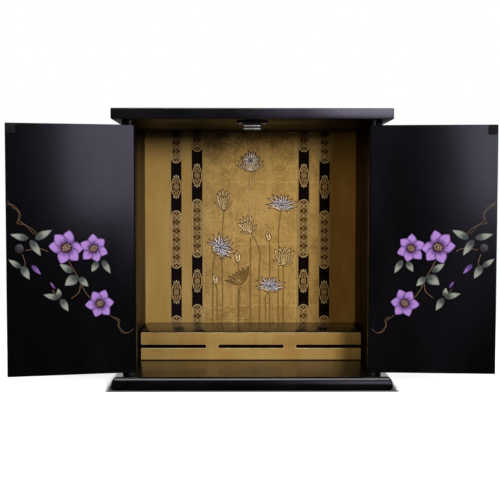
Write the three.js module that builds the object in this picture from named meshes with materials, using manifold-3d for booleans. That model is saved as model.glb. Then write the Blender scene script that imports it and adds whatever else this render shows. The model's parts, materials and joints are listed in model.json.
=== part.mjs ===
// Household altar cabinet: a black lacquered tabletop box with two open doors and a gold interior.
// Millimetres. +Z is up, +X is to the right and +Y to the back. The origin is on the underside.
import * as THREE from 'three';
import { mergeVertices } from 'three/addons/utils/BufferGeometryUtils.js';
import Module from 'manifold-3d';

const wasm = await Module();
wasm.setup();

// Base board
const baseOverhang = 14; // past the case on each side
const baseDepth = 300;
const baseThickness = 20;
const noseHeight = 8; // height of the widest line of the rounded nose
const noseUpperReach = 8;
const noseLowerReach = 4;

// Top board
const topOverhang = 13.5; // past the case on each side
const topThickness = 16.5;
const topFrontSetback = 8.4; // from the front of the base board
const topBackSetback = 2;
const topArris = 1.2;
const topCornerRound = 2;

// Case
const caseWidth = 393;
const caseHeight = 384;
const caseWall = 11;
const caseFrontSetback = 32.2; // from the front of the base board
const caseBackSetback = 4;
const backBoardThickness = 5.5;
const goldPanelThickness = 3.3;

// Doors
const doorThickness = 15;
const doorFloorGap = 5;
const doorHeadGap = 8;
const doorMeetGap = 1.5; // between the two closed doors
const doorInset = 6; // hinge edge inside the outer face of the case
const doorCaseGap = 2; // closed door to the front of the case
const doorHingeRound = 5;
const doorFreeRound = 1.5;
const doorArris = 0.8;
const leftDoorOpen = 167.4; // degrees from closed
const rightDoorOpen = 175.1; // degrees from closed

// Door pivots
const pivotFromEdge = 8; // pivot axis to the hinge edge of the door
const pinRadius = 2.5;
const pinInBoard = 8;
const pinInDoor = 10;
const collarRadius = 4.5;
const headCollarThickness = 2;
const roundSides = 20;

// Gaps that fitted pieces keep
const fitGap = 0.3;

// How far a cutting shape runs past what it cuts
const overCut = 1;

// Step that stands inside, against the back
const stepSideGap = 4.25; // to each side of the case
const stepHeight = 47.5;
const stepDepth = 125;
const stepBackGap = 1.6;
const stepBoard = 6;
const stepFrontThickness = 5;
const stepLip = 1.5; // black lip of the top board above the gold front
const slotHeight = 6.2;
const slotBridge = 20.5; // solid stretch between two slots
const slotCount = 3;

// Brocade strips on the back
const stripWidth = 22;
const stripThickness = 1;
const outerStripFromWall = 54.8; // middle of the outer strip to the side of the case
const stripPitch = 36.7; // middle of the outer strip to the middle of the inner one

// Magnetic catch under the top board
const catchWidth = 27;
const catchDepth = 16;
const catchHeight = 14.6;
const earSpan = 46;
const earDepth = 12;
const earThickness = 3.5;
const yokeWidth = 25;
const yokeThickness = 1.2;
const yokeDepth = 13;
const yokePitch = 4.6; // upper yoke to lower yoke
const yokeUnderBody = 1; // plastic left below the lower yoke
const yokeStandOut = 1;
const magnetInset = 1; // magnet inside the edges of the yokes
const catchGap = 0.4; // yokes to the strike plates of the closed doors
const screwRadius = 2.4;
const screwHead = 1.6;

// Strike plates, knobs and caps on the doors
const strikeWidth = 14;
const strikeHeight = 14;
const strikeThickness = 1.2;
const strikeRound = 2.5;
const strikeFromEdge = 0.8;
const knobFromEdge = 19;
const knobAboveMiddle = 2.5;
const knobRadius = 8;
const knobStandOut = 15;
const capRadius = 6.5;
const capThickness = 2.4;

// Lotus relief on the gold back
const reliefHeight = 2.4;
const reliefRoot = 0.6; // how deep the figures sink into the panel
const petalSides = 6;
const stemWidth = 1.8;
const stemHeight = 0.9;
const reliefAboveStep = 1.5;

// Levels and planes worked out from the sizes above
const baseFrontY = -baseDepth / 2;
const baseBackY = baseDepth / 2;
const caseFrontY = baseFrontY + caseFrontSetback;
const caseBackY = baseBackY - caseBackSetback;
const backBoardFrontY = caseBackY - backBoardThickness;
const goldFaceY = backBoardFrontY - goldPanelThickness;
const caseFloorZ = baseThickness;
const caseHeadZ = caseFloorZ + caseHeight;
const innerWidth = caseWidth - 2 * caseWall;
const baseWidth = caseWidth + 2 * baseOverhang;
const topWidth = caseWidth + 2 * topOverhang;
const stepWidth = innerWidth - 2 * stepSideGap;
const outerStripX = innerWidth / 2 - outerStripFromWall;
const innerStripX = outerStripX - stripPitch;
const doorFloorZ = caseFloorZ + doorFloorGap;
const doorHeight = caseHeight - doorFloorGap - doorHeadGap;
const doorEdgeX = caseWidth / 2 - doorInset;
const pivotX = doorEdgeX - pivotFromEdge;
const pivotY = caseFrontY - doorCaseGap - doorThickness / 2;
const doorReach = pivotX - doorMeetGap / 2; // pivot axis to the free edge
const stepBackY = goldFaceY - stepBackGap;
const stepFrontY = stepBackY - stepDepth;
const stepTopZ = caseFloorZ + stepHeight;
const pondWidth = 2 * innerStripX - stripWidth; // plain gold between the inner strips
const pondHeight = caseHeadZ - stepTopZ;

const finishes = {
  lacquer: { color: 0x0b0a0c, roughness: 0.28, metalness: 0 },
  gold: { color: 0xb08a3e, roughness: 0.38, metalness: 0.8 },
  brocade: { color: 0x1a1512, roughness: 0.8, metalness: 0 },
  steel: { color: 0xb9b6b4, roughness: 0.35, metalness: 1 },
  blackPlastic: { color: 0x121113, roughness: 0.5, metalness: 0 },
  ferrite: { color: 0x2a2726, roughness: 0.7, metalness: 0 },
  brass: { color: 0xa98445, roughness: 0.35, metalness: 1 },
  cap: { color: 0x2e2d30, roughness: 0.45, metalness: 0 },
};

const cabinet = new THREE.Group();

// Turns a closed geometry into a solid that can be joined and cut.
function solidOf(geometry) {
  const bare = geometry.clone();
  bare.deleteAttribute('normal');
  bare.deleteAttribute('uv');
  const merged = mergeVertices(bare, 1e-4);
  const corners = [];
  const index = merged.index.array;
  for (let i = 0; i < index.length; i += 3) {
    const [a, b, c] = [index[i], index[i + 1], index[i + 2]];
    if (a !== b && b !== c && c !== a) corners.push(a, b, c);
  }
  return new wasm.Manifold(new wasm.Mesh({
    numProp: 3,
    vertProperties: new Float32Array(merged.attributes.position.array),
    triVerts: new Uint32Array(corners),
  }));
}

function geometryOf(solid) {
  const mesh = solid.getMesh();
  const geometry = new THREE.BufferGeometry();
  const points = [];
  for (let i = 0; i < mesh.vertProperties.length; i += mesh.numProp) {
    points.push(...mesh.vertProperties.slice(i, i + 3));
  }
  geometry.setAttribute('position', new THREE.Float32BufferAttribute(points, 3));
  geometry.setIndex(Array.from(mesh.triVerts));
  return geometry;
}

function joined(geometries) {
  return geometries.map(solidOf).reduce((whole, piece) => whole.add(piece));
}

function cut(geometry, tools) {
  return geometryOf(tools.map(solidOf).reduce((left, tool) => left.subtract(tool), solidOf(geometry)));
}

function piece(parent, name, geometry, finish) {
  const mesh = new THREE.Mesh(geometry, new THREE.MeshStandardMaterial(finishes[finish]));
  mesh.name = name;
  parent.add(mesh);
  return mesh;
}

// A box given by its lowest and highest corner.
function block(x0, x1, y0, y1, z0, z1) {
  const box = new THREE.BoxGeometry(x1 - x0, y1 - y0, z1 - z0);
  return box.translate((x0 + x1) / 2, (y0 + y1) / 2, (z0 + z1) / 2);
}

// Extrusions along X from a shape drawn in Y and Z, and along Y from one drawn in X and Z.
function extrudeX(shape, x0, x1) {
  const geometry = new THREE.ExtrudeGeometry(shape, { depth: x1 - x0, bevelEnabled: false, curveSegments: 6 });
  const turn = new THREE.Matrix4().makeBasis(
    new THREE.Vector3(0, 1, 0),
    new THREE.Vector3(0, 0, 1),
    new THREE.Vector3(1, 0, 0),
  );
  return geometry.applyMatrix4(turn).translate(x0, 0, 0);
}

function extrudeY(shape, y0, y1) {
  const geometry = new THREE.ExtrudeGeometry(shape, { depth: y1 - y0, bevelEnabled: false, curveSegments: 6 });
  const turn = new THREE.Matrix4().makeBasis(
    new THREE.Vector3(1, 0, 0),
    new THREE.Vector3(0, 0, 1),
    new THREE.Vector3(0, -1, 0),
  );
  return geometry.applyMatrix4(turn).translate(0, y1, 0);
}

// A flat slab lying in X and Y, with rounded upright corners and a chamfer on both faces.
function slab(x0, x1, y0, y1, z0, thickness, round, arris) {
  const shape = new THREE.Shape();
  shape.moveTo(x0 + round, y0);
  shape.lineTo(x1 - round, y0);
  shape.absarc(x1 - round, y0 + round, round, -Math.PI / 2, 0);
  shape.lineTo(x1, y1 - round);
  shape.absarc(x1 - round, y1 - round, round, 0, Math.PI / 2);
  shape.lineTo(x0 + round, y1);
  shape.absarc(x0 + round, y1 - round, round, Math.PI / 2, Math.PI);
  shape.lineTo(x0, y0 + round);
  shape.absarc(x0 + round, y0 + round, round, Math.PI, Math.PI * 1.5);
  const geometry = new THREE.ExtrudeGeometry(shape, {
    depth: thickness - 2 * arris,
    bevelEnabled: true,
    bevelSegments: 1,
    bevelSize: arris,
    bevelOffset: -arris,
    bevelThickness: arris,
    curveSegments: 3,
  });
  return geometry.translate(0, 0, z0 + arris);
}

// A round, closed turning about a vertical axis, from [radius, height] pairs.
function turned(pairs, sides = roundSides) {
  const profile = pairs.map(([r, z]) => new THREE.Vector2(r, z));
  return new THREE.LatheGeometry(profile, sides).rotateX(Math.PI / 2);
}

function rod(radius, z0, z1) {
  return turned([[0, z0], [radius, z0], [radius, z1], [0, z1]]);
}

// Base board with a rounded nose on the front and both ends
function addBaseBoard() {
  const low = noseLowerReach;
  const high = noseUpperReach;
  const rise = baseThickness - noseHeight;
  const front = new THREE.Shape();
  front.moveTo(baseBackY, 0);
  front.lineTo(baseBackY, baseThickness);
  front.lineTo(baseFrontY + high, baseThickness);
  front.absellipse(baseFrontY + high, noseHeight, high, rise, Math.PI / 2, Math.PI);
  front.absellipse(baseFrontY + low, noseHeight, low, noseHeight, Math.PI, Math.PI * 1.5);
  const half = baseWidth / 2;
  const ends = new THREE.Shape();
  ends.moveTo(-half + low, 0);
  ends.lineTo(half - low, 0);
  ends.absellipse(half - low, noseHeight, low, noseHeight, -Math.PI / 2, 0);
  ends.absellipse(half - high, noseHeight, high, rise, 0, Math.PI / 2);
  ends.lineTo(-half + high, baseThickness);
  ends.absellipse(-half + high, noseHeight, high, rise, Math.PI / 2, Math.PI);
  ends.absellipse(-half + low, noseHeight, low, noseHeight, Math.PI, Math.PI * 1.5);
  const along = solidOf(extrudeX(front, -half, half));
  const across = solidOf(extrudeY(ends, baseFrontY, baseBackY));
  const drilled = pinHoles(baseThickness - pinInBoard, baseThickness + overCut);
  piece(cabinet, 'base_board', cut(geometryOf(along.intersect(across)), drilled), 'lacquer');
}

function pinHoles(z0, z1) {
  return [-1, 1].map((side) => rod(pinRadius + fitGap, z0, z1).translate(side * pivotX, pivotY, 0));
}

function addTopBoard() {
  const half = topWidth / 2;
  const front = baseFrontY + topFrontSetback;
  const back = baseBackY - topBackSetback;
  const board = slab(-half, half, front, back, caseHeadZ, topThickness, topCornerRound, topArris);
  piece(cabinet, 'top_board', cut(board, pinHoles(caseHeadZ - overCut, caseHeadZ + pinInBoard)), 'lacquer');
}

function addCase() {
  const outer = caseWidth / 2;
  const inner = innerWidth / 2;
  const sides = { left_side: [-outer, -inner], right_side: [inner, outer] };
  for (const [name, [x0, x1]] of Object.entries(sides)) {
    piece(cabinet, name, block(x0, x1, caseFrontY, backBoardFrontY, caseFloorZ, caseHeadZ), 'lacquer');
  }
  const back = block(-outer, outer, backBoardFrontY, caseBackY, caseFloorZ, caseHeadZ);
  piece(cabinet, 'back_board', back, 'lacquer');
}

// One low carved petal that points up from its foot: a six-sided outline with a rim and a raised middle.
function petal(x, z, angle, length, width, height) {
  const shape = turned([[0, -reliefRoot], [1, -reliefRoot], [1, height * 0.35], [0, height]], petalSides);
  shape.scale(length / 2, width / 2, 1);
  shape.translate(length / 2, 0, 0);
  shape.rotateZ(Math.PI / 2 - angle);
  return ontoBack(shape).translate(x, 0, z);
}

// Lays a figure drawn in X and Y, with its height along Z, on the face of the gold back.
function ontoBack(geometry) {
  return geometry.rotateX(Math.PI / 2).translate(0, goldFaceY, 0);
}

// A fan of petals from one foot. spread is the angle from the middle petal to the last one.
function fan(figure, { count, spread, length, width, height, lift = 0, droop = 0.2 }) {
  const petals = [];
  for (let i = 0; i < count; i += 1) {
    const share = count === 1 ? 0 : (2 * i) / (count - 1) - 1;
    const turn = share * spread;
    const reach = length * (1 - droop * share * share);
    const x = figure.x + lift * Math.sin(figure.lean);
    const z = figure.z + lift * Math.cos(figure.lean);
    petals.push(petal(x, z, figure.lean + turn, reach, width, height));
  }
  return petals;
}

// An open lotus: a back row, a front row, and two curled sepals at its foot.
function openLotus(figure) {
  const { width, height } = figure;
  const spread = Math.atan2(width / 2, height * 0.45);
  return [
    ...fan(figure, {
      count: 9, spread, length: height, width: width * 0.14, height: reliefHeight * 0.6, droop: 0.4,
    }),
    ...fan(figure, {
      count: 5, spread: spread * 0.62, length: height * 0.62, width: width * 0.2, height: reliefHeight, droop: 0.1,
    }),
    ...fan(figure, {
      count: 2, spread: spread * 1.2, length: width * 0.34, width: width * 0.1, height: reliefHeight * 0.5, droop: 0,
    }),
  ];
}

// A half-open lotus: fewer and wider petals that stay close together.
function cupLotus(figure) {
  const { width, height } = figure;
  const spread = Math.atan2(width / 2, height * 0.75);
  return [
    ...fan(figure, {
      count: 5, spread, length: height, width: width * 0.32, height: reliefHeight * 0.6, droop: 0.15,
    }),
    ...fan(figure, {
      count: 3, spread: spread * 0.5, length: height * 0.7, width: width * 0.34, height: reliefHeight, droop: 0.1,
    }),
    ...fan(figure, {
      count: 2, spread: spread * 1.7, length: height * 0.5, width: width * 0.16, height: reliefHeight * 0.5, droop: 0,
    }),
  ];
}

function bud(figure) {
  const { width, height } = figure;
  return [
    petal(figure.x, figure.z, figure.lean, height, width, reliefHeight * 0.8),
    ...fan(figure, {
      count: 2, spread: 0.5, length: height * 0.6, width: width * 0.45, height: reliefHeight * 0.5, droop: 0,
    }),
  ];
}

// A folded leaf, broad and flat, seen from its side.
function leaf(figure) {
  const { width, height } = figure;
  return fan(figure, {
    count: 5, spread: 0.85, length: height, width: width * 0.3, height: reliefHeight * 0.55, droop: -0.15,
  });
}

// A long low ridge between two points of the back.
function ridge([x0, z0], [x1, z1], width, height) {
  const length = Math.hypot(x1 - x0, z1 - z0);
  const section = new THREE.Shape();
  section.moveTo(-width / 2, -reliefRoot);
  section.lineTo(width / 2, -reliefRoot);
  section.lineTo(width / 2, 0);
  section.lineTo(0, height);
  section.lineTo(-width / 2, 0);
  const run = new THREE.ExtrudeGeometry(section, { depth: length, bevelEnabled: false });
  run.rotateX(Math.PI / 2).rotateZ(Math.PI + Math.atan2(z1 - z0, x1 - x0) - Math.PI / 2);
  return ontoBack(run).translate(x0, 0, z0);
}

// Feet of the figures: x, width and height are shares of the pond's width, and up of its height
const lotusFigures = [
  { kind: openLotus, x: 0, up: 0.796, width: 0.265, height: 0.193, lean: 0, stemX: 0 },
  { kind: cupLotus, x: -0.28, up: 0.591, width: 0.157, height: 0.211, lean: -0.05, stemX: -0.3 },
  { kind: openLotus, x: 0.325, up: 0.591, width: 0.313, height: 0.151, lean: 0.12, stemX: 0.3 },
  { kind: cupLotus, x: 0.006, up: 0.4725, width: 0.181, height: 0.181, lean: -0.45, stemX: 0.096 },
  { kind: openLotus, x: -0.373, up: 0.366, width: 0.277, height: 0.205, lean: 0.75, stemX: -0.4 },
  { kind: bud, x: 0.202, up: 0.431, width: 0.054, height: 0.096, lean: -0.25, stemX: 0.205 },
  { kind: cupLotus, x: 0.349, up: 0.303, width: 0.229, height: 0.187, lean: 0.1, stemX: 0.35 },
  { kind: bud, x: -0.13, up: 0.318, width: 0.06, height: 0.12, lean: -0.1, stemX: -0.13 },
  { kind: leaf, x: -0.078, up: 0.208, width: 0.181, height: 0.181, lean: -0.75, stemX: -0.115 },
  { kind: bud, x: -0.367, up: 0.202, width: 0.06, height: 0.108, lean: -0.12, stemX: -0.355 },
  { kind: openLotus, x: 0.205, up: 0.164, width: 0.289, height: 0.145, lean: 0.1, stemX: 0.163 },
];
const kneeShare = 0.86; // where a stem bends towards its flower, as a share of its height

// Water ripples: middle, half length and rise as shares of the pond's width, up as a share of its height
const ripples = [
  { x: -0.373, up: 0.036, half: 0.096 },
  { x: -0.229, up: 0.059, half: 0.133 },
  { x: -0.157, up: 0.03, half: 0.157 },
  { x: -0.036, up: 0.045, half: 0.072 },
];
const rippleRise = 0.01;

function addGoldBack() {
  const half = innerWidth / 2;
  const reliefFloorZ = stepTopZ + reliefAboveStep;
  const figures = [];
  for (const entry of lotusFigures) {
    const figure = {
      ...entry,
      x: entry.x * pondWidth,
      z: stepTopZ + entry.up * pondHeight,
      width: entry.width * pondWidth,
      height: entry.height * pondWidth,
    };
    const stemX = entry.stemX * pondWidth;
    const kneeZ = reliefFloorZ + (figure.z - reliefFloorZ) * kneeShare;
    figures.push(...figure.kind(figure));
    figures.push(ridge([stemX, reliefFloorZ], [stemX, kneeZ], stemWidth, stemHeight));
    figures.push(ridge([stemX, kneeZ], [figure.x, figure.z + stemHeight], stemWidth, stemHeight));
  }
  for (const ripple of ripples) {
    const [x, z] = [ripple.x * pondWidth, stepTopZ + ripple.up * pondHeight];
    const reach = ripple.half * pondWidth;
    const crest = [x, z + rippleRise * pondWidth];
    figures.push(ridge([x - reach, z], crest, stemWidth, stemHeight));
    figures.push(ridge(crest, [x + reach, z], stemWidth, stemHeight));
  }
  const panel = block(-half, half, goldFaceY, backBoardFrontY, caseFloorZ, caseHeadZ);
  piece(cabinet, 'gold_back_panel', geometryOf(joined([panel, ...figures])), 'gold');
}

function addStrips() {
  const places = {
    brocade_strip_outer_left: -outerStripX,
    brocade_strip_inner_left: -innerStripX,
    brocade_strip_inner_right: innerStripX,
    brocade_strip_outer_right: outerStripX,
  };
  for (const [name, x] of Object.entries(places)) {
    const [x0, x1] = [x - stripWidth / 2, x + stripWidth / 2];
    piece(cabinet, name, block(x0, x1, goldFaceY - stripThickness, goldFaceY, caseFloorZ, caseHeadZ), 'brocade');
  }
}

// Step: a black box of thin boards with a gold front that has three long slots
function addStep() {
  const half = stepWidth / 2;
  const facingBackY = stepFrontY + stepFrontThickness;
  const boardBackY = facingBackY + stepBoard;
  const underTopZ = stepTopZ - stepBoard;
  const facingTopZ = stepTopZ - stepLip;
  const top = new THREE.Shape();
  top.moveTo(stepFrontY, facingTopZ);
  top.lineTo(facingBackY, facingTopZ);
  top.lineTo(facingBackY, underTopZ);
  top.lineTo(stepBackY, underTopZ);
  top.lineTo(stepBackY, stepTopZ);
  top.lineTo(stepFrontY, stepTopZ);
  piece(cabinet, 'step_top', extrudeX(top, -half, half), 'lacquer');
  const sides = { step_left_side: [-half, -half + stepBoard], step_right_side: [half - stepBoard, half] };
  for (const [name, [x0, x1]] of Object.entries(sides)) {
    piece(cabinet, name, block(x0, x1, boardBackY, stepBackY, caseFloorZ, underTopZ), 'lacquer');
  }
  const inner = block(-half, half, facingBackY, boardBackY, caseFloorZ, underTopZ);
  piece(cabinet, 'step_inner_front', inner, 'lacquer');
  const facing = block(-half, half, stepFrontY, facingBackY, caseFloorZ, facingTopZ);
  const slotMiddleZ = (caseFloorZ + facingTopZ) / 2;
  const slotLength = (stepWidth - (slotCount - 1) * slotBridge) / slotCount;
  const slots = [];
  for (let i = 0; i < slotCount; i += 1) {
    const start = -half + i * (slotLength + slotBridge);
    const x0 = i === 0 ? start - overCut : start;
    const x1 = start + slotLength + (i === slotCount - 1 ? overCut : 0);
    const z0 = slotMiddleZ - slotHeight / 2;
    slots.push(block(x0, x1, stepFrontY - overCut, facingBackY + overCut, z0, z0 + slotHeight));
  }
  piece(cabinet, 'step_front', cut(facing, slots), 'gold');
}

// Magnetic catch: a plastic body with two ears, a magnet between two steel yokes, and two screws
function addCatch() {
  const yokeFrontY = caseFrontY - doorCaseGap + strikeThickness + catchGap;
  const bodyFrontY = yokeFrontY + yokeStandOut;
  const bodyBackY = bodyFrontY + catchDepth;
  const bodyFloorZ = caseHeadZ - catchHeight;
  const lowerZ = bodyFloorZ + yokeUnderBody + fitGap;
  const upperZ = lowerZ + yokePitch;
  const half = catchWidth / 2;
  const body = block(-half, half, bodyFrontY, bodyBackY, bodyFloorZ, caseHeadZ);
  const earY0 = (bodyFrontY + bodyBackY - earDepth) / 2;
  const ears = block(-earSpan / 2, earSpan / 2, earY0, earY0 + earDepth, caseHeadZ - earThickness, caseHeadZ);
  const pocketHalf = yokeWidth / 2 + fitGap;
  const pocketBackY = yokeFrontY + yokeDepth + fitGap;
  const pocketTopZ = upperZ + yokeThickness + fitGap;
  const pocket = block(-pocketHalf, pocketHalf, bodyFrontY - overCut, pocketBackY, lowerZ - fitGap, pocketTopZ);
  const whole = joined([body, ears]).subtract(solidOf(pocket));
  piece(cabinet, 'catch_body', geometryOf(whole), 'blackPlastic');
  const yokes = { catch_yoke_lower: lowerZ, catch_yoke_upper: upperZ };
  for (const [name, z] of Object.entries(yokes)) {
    const plate = block(-yokeWidth / 2, yokeWidth / 2, yokeFrontY, yokeFrontY + yokeDepth, z, z + yokeThickness);
    piece(cabinet, name, plate, 'steel');
  }
  const magnetHalf = yokeWidth / 2 - magnetInset;
  const magnetY = [yokeFrontY + magnetInset, yokeFrontY + yokeDepth - magnetInset];
  const magnet = block(-magnetHalf, magnetHalf, ...magnetY, lowerZ + yokeThickness, upperZ);
  piece(cabinet, 'catch_magnet', magnet, 'ferrite');
  const screwX = (catchWidth / 2 + earSpan / 2) / 2;
  for (const [name, side] of [['catch_screw_left', -1], ['catch_screw_right', 1]]) {
    const headZ = caseHeadZ - earThickness;
    const head = turned([[0, headZ - screwHead], [screwRadius * 0.6, headZ - screwHead], [screwRadius, headZ], [0, headZ]]);
    piece(cabinet, name, head.translate(side * screwX, (bodyFrontY + bodyBackY) / 2, 0), 'steel');
  }
}

// Pivot pins, each with a collar in the gap between the board and the door
function addPins() {
  const doorHeadZ = doorFloorZ + doorHeight;
  for (const [name, side] of [['left', -1], ['right', 1]]) {
    const low = turned([
      [0, caseFloorZ - pinInBoard + fitGap],
      [pinRadius, caseFloorZ - pinInBoard + fitGap],
      [pinRadius, caseFloorZ],
      [collarRadius, caseFloorZ],
      [collarRadius, doorFloorZ - fitGap],
      [pinRadius, doorFloorZ - fitGap],
      [pinRadius, doorFloorZ + pinInDoor - fitGap],
      [0, doorFloorZ + pinInDoor - fitGap],
    ]);
    const high = turned([
      [0, doorHeadZ - pinInDoor + fitGap],
      [pinRadius, doorHeadZ - pinInDoor + fitGap],
      [pinRadius, caseHeadZ - headCollarThickness],
      [collarRadius, caseHeadZ - headCollarThickness],
      [collarRadius, caseHeadZ],
      [pinRadius, caseHeadZ],
      [pinRadius, caseHeadZ + pinInBoard - fitGap],
      [0, caseHeadZ + pinInBoard - fitGap],
    ]);
    piece(cabinet, `pivot_pin_bottom_${name}`, low.translate(side * pivotX, pivotY, 0), 'steel');
    piece(cabinet, `pivot_pin_top_${name}`, high.translate(side * pivotX, pivotY, 0), 'steel');
  }
}

// The plan of a closed left door about its pivot, with round corners on the hinge edge
function doorPlan() {
  const [x0, x1] = [-pivotFromEdge, doorReach];
  const y = doorThickness / 2;
  const r = doorHingeRound;
  const f = doorFreeRound;
  const shape = new THREE.Shape();
  shape.moveTo(x0 + r, -y);
  shape.lineTo(x1 - f, -y);
  shape.absarc(x1 - f, -y + f, f, -Math.PI / 2, 0);
  shape.absarc(x1 - f, y - f, f, 0, Math.PI / 2);
  shape.lineTo(x0 + r, y);
  shape.absarc(x0 + r, y - r, r, Math.PI / 2, Math.PI);
  shape.absarc(x0 + r, -y + r, r, Math.PI, Math.PI * 1.5);
  return shape;
}

function mirrored(geometry) {
  const flat = geometry.index ? geometry.toNonIndexed() : geometry.clone();
  flat.deleteAttribute('normal');
  flat.deleteAttribute('uv');
  const at = flat.attributes.position;
  for (let i = 0; i < at.count; i += 3) {
    const [x, y, z] = [at.getX(i + 1), at.getY(i + 1), at.getZ(i + 1)];
    at.setXYZ(i + 1, at.getX(i + 2), at.getY(i + 2), at.getZ(i + 2));
    at.setXYZ(i + 2, x, y, z);
  }
  return flat.scale(-1, 1, 1);
}

// One door with its strike plate, knob and screw cap, drawn closed and then turned open about its pivot
function addDoor(side, sign, openAngle) {
  const hung = new THREE.Group();
  hung.position.set(sign * pivotX, pivotY, 0);
  hung.rotation.z = sign * THREE.MathUtils.degToRad(openAngle);
  cabinet.add(hung);
  const place = (geometry) => (sign > 0 ? mirrored(geometry) : geometry);
  const innerY = doorThickness / 2;
  const headZ = doorFloorZ + doorHeight;
  const leafShape = new THREE.ExtrudeGeometry(doorPlan(), {
    depth: doorHeight - 2 * doorArris,
    bevelEnabled: true,
    bevelSegments: 1,
    bevelSize: doorArris,
    bevelOffset: -doorArris,
    bevelThickness: doorArris,
    curveSegments: 4,
  }).translate(0, 0, doorFloorZ + doorArris);
  const holes = [
    rod(pinRadius + fitGap, doorFloorZ - overCut, doorFloorZ + pinInDoor),
    rod(pinRadius + fitGap, headZ - pinInDoor, headZ + overCut),
  ];
  piece(hung, `${side}_door`, place(cut(leafShape, holes)), 'lacquer');
  const x1 = doorReach - strikeFromEdge;
  const z1 = headZ - strikeFromEdge;
  const strike = slab(
    x1 - strikeWidth, x1, -z1, -z1 + strikeHeight, 0, strikeThickness - fitGap, strikeRound, fitGap,
  ).rotateX(-Math.PI / 2).translate(0, innerY + fitGap, 0);
  piece(hung, `${side}_strike_plate`, place(strike), 'blackPlastic');
  const knobX = doorReach - knobFromEdge;
  const knobZ = doorFloorZ + doorHeight / 2 + knobAboveMiddle;
  const knob = turned([
    [0, fitGap],
    [knobRadius * 0.62, fitGap],
    [knobRadius * 0.55, knobStandOut * 0.12],
    [knobRadius * 0.45, knobStandOut * 0.4],
    [knobRadius * 0.8, knobStandOut * 0.55],
    [knobRadius, knobStandOut * 0.72],
    [knobRadius * 0.86, knobStandOut * 0.9],
    [knobRadius * 0.45, knobStandOut],
    [0, knobStandOut],
  ]).rotateX(Math.PI / 2).translate(knobX, -innerY, knobZ);
  piece(hung, `${side}_knob`, place(knob), 'brass');
  const cap = turned([
    [0, fitGap],
    [capRadius, fitGap],
    [capRadius, capThickness * 0.45],
    [capRadius * 0.72, capThickness * 0.86],
    [capRadius * 0.35, capThickness],
    [0, capThickness],
  ]).rotateX(-Math.PI / 2).translate(knobX, innerY, knobZ);
  piece(hung, `${side}_screw_cap`, place(cap), 'cap');
}

addBaseBoard();
addCase();
addTopBoard();
addGoldBack();
addStrips();
addStep();
addCatch();
addPins();
addDoor('left', -1, leftDoorOpen);
addDoor('right', 1, rightDoorOpen);

export default cabinet;
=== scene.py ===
# Household altar cabinet: the finish and the fine detail of a black lacquered cabinet with a gold interior.
import json
import math
import random
from typing import NamedTuple

import bmesh
import bpy
from mathutils import Matrix, Vector


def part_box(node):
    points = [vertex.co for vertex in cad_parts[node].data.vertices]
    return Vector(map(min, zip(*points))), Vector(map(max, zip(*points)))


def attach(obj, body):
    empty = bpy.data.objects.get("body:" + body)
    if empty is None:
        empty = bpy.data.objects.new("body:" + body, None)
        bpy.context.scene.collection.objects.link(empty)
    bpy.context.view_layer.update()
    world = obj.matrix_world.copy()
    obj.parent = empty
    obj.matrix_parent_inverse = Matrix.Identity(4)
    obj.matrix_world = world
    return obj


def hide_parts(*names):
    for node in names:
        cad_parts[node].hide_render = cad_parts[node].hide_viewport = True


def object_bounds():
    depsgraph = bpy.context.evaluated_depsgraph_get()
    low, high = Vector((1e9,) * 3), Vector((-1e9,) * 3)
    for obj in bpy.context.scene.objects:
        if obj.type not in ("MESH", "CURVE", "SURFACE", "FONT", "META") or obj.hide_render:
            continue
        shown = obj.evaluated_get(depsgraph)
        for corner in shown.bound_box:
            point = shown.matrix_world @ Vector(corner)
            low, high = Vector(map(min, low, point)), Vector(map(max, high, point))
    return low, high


bl_info = {
    "name": "Household altar cabinet",
    "version": (1, 0, 0),
    "blender": (4, 5, 0),
    "location": "3D View > Sidebar > Altar",
    "description": "Dresses the frame of a lacquered altar cabinet with its finishes and fine detail",
    "category": "Object",
}

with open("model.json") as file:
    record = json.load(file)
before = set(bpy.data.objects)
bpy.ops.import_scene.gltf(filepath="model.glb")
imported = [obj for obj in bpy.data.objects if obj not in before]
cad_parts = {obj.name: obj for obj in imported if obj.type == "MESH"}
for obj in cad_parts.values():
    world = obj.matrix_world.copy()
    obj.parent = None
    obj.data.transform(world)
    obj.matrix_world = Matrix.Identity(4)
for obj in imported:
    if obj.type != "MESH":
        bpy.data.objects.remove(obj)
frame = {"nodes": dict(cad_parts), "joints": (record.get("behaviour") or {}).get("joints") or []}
CAD_LOW, CAD_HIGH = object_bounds()
NODES = frame["nodes"]
CABINET = "cabinet"
MM = 0.001
MERGE = 0.02 * MM


def length(name, description, default):
    """A size that the panel shows, in metres."""
    return bpy.props.FloatProperty(
        name=name, description=description, default=default, min=0.0, precision=5, unit='LENGTH'
    )


def share(name, description, default):
    return bpy.props.FloatProperty(
        name=name, description=description, default=default, min=0.0, max=1.0, subtype='FACTOR'
    )


def power(name, description, default):
    return bpy.props.FloatProperty(name=name, description=description, default=default, min=0.0, unit='POWER')


def colour(name, description, default):
    return bpy.props.FloatVectorProperty(
        name=name, description=description, default=default, size=3, min=0.0, max=1.0, subtype='COLOR'
    )


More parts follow.
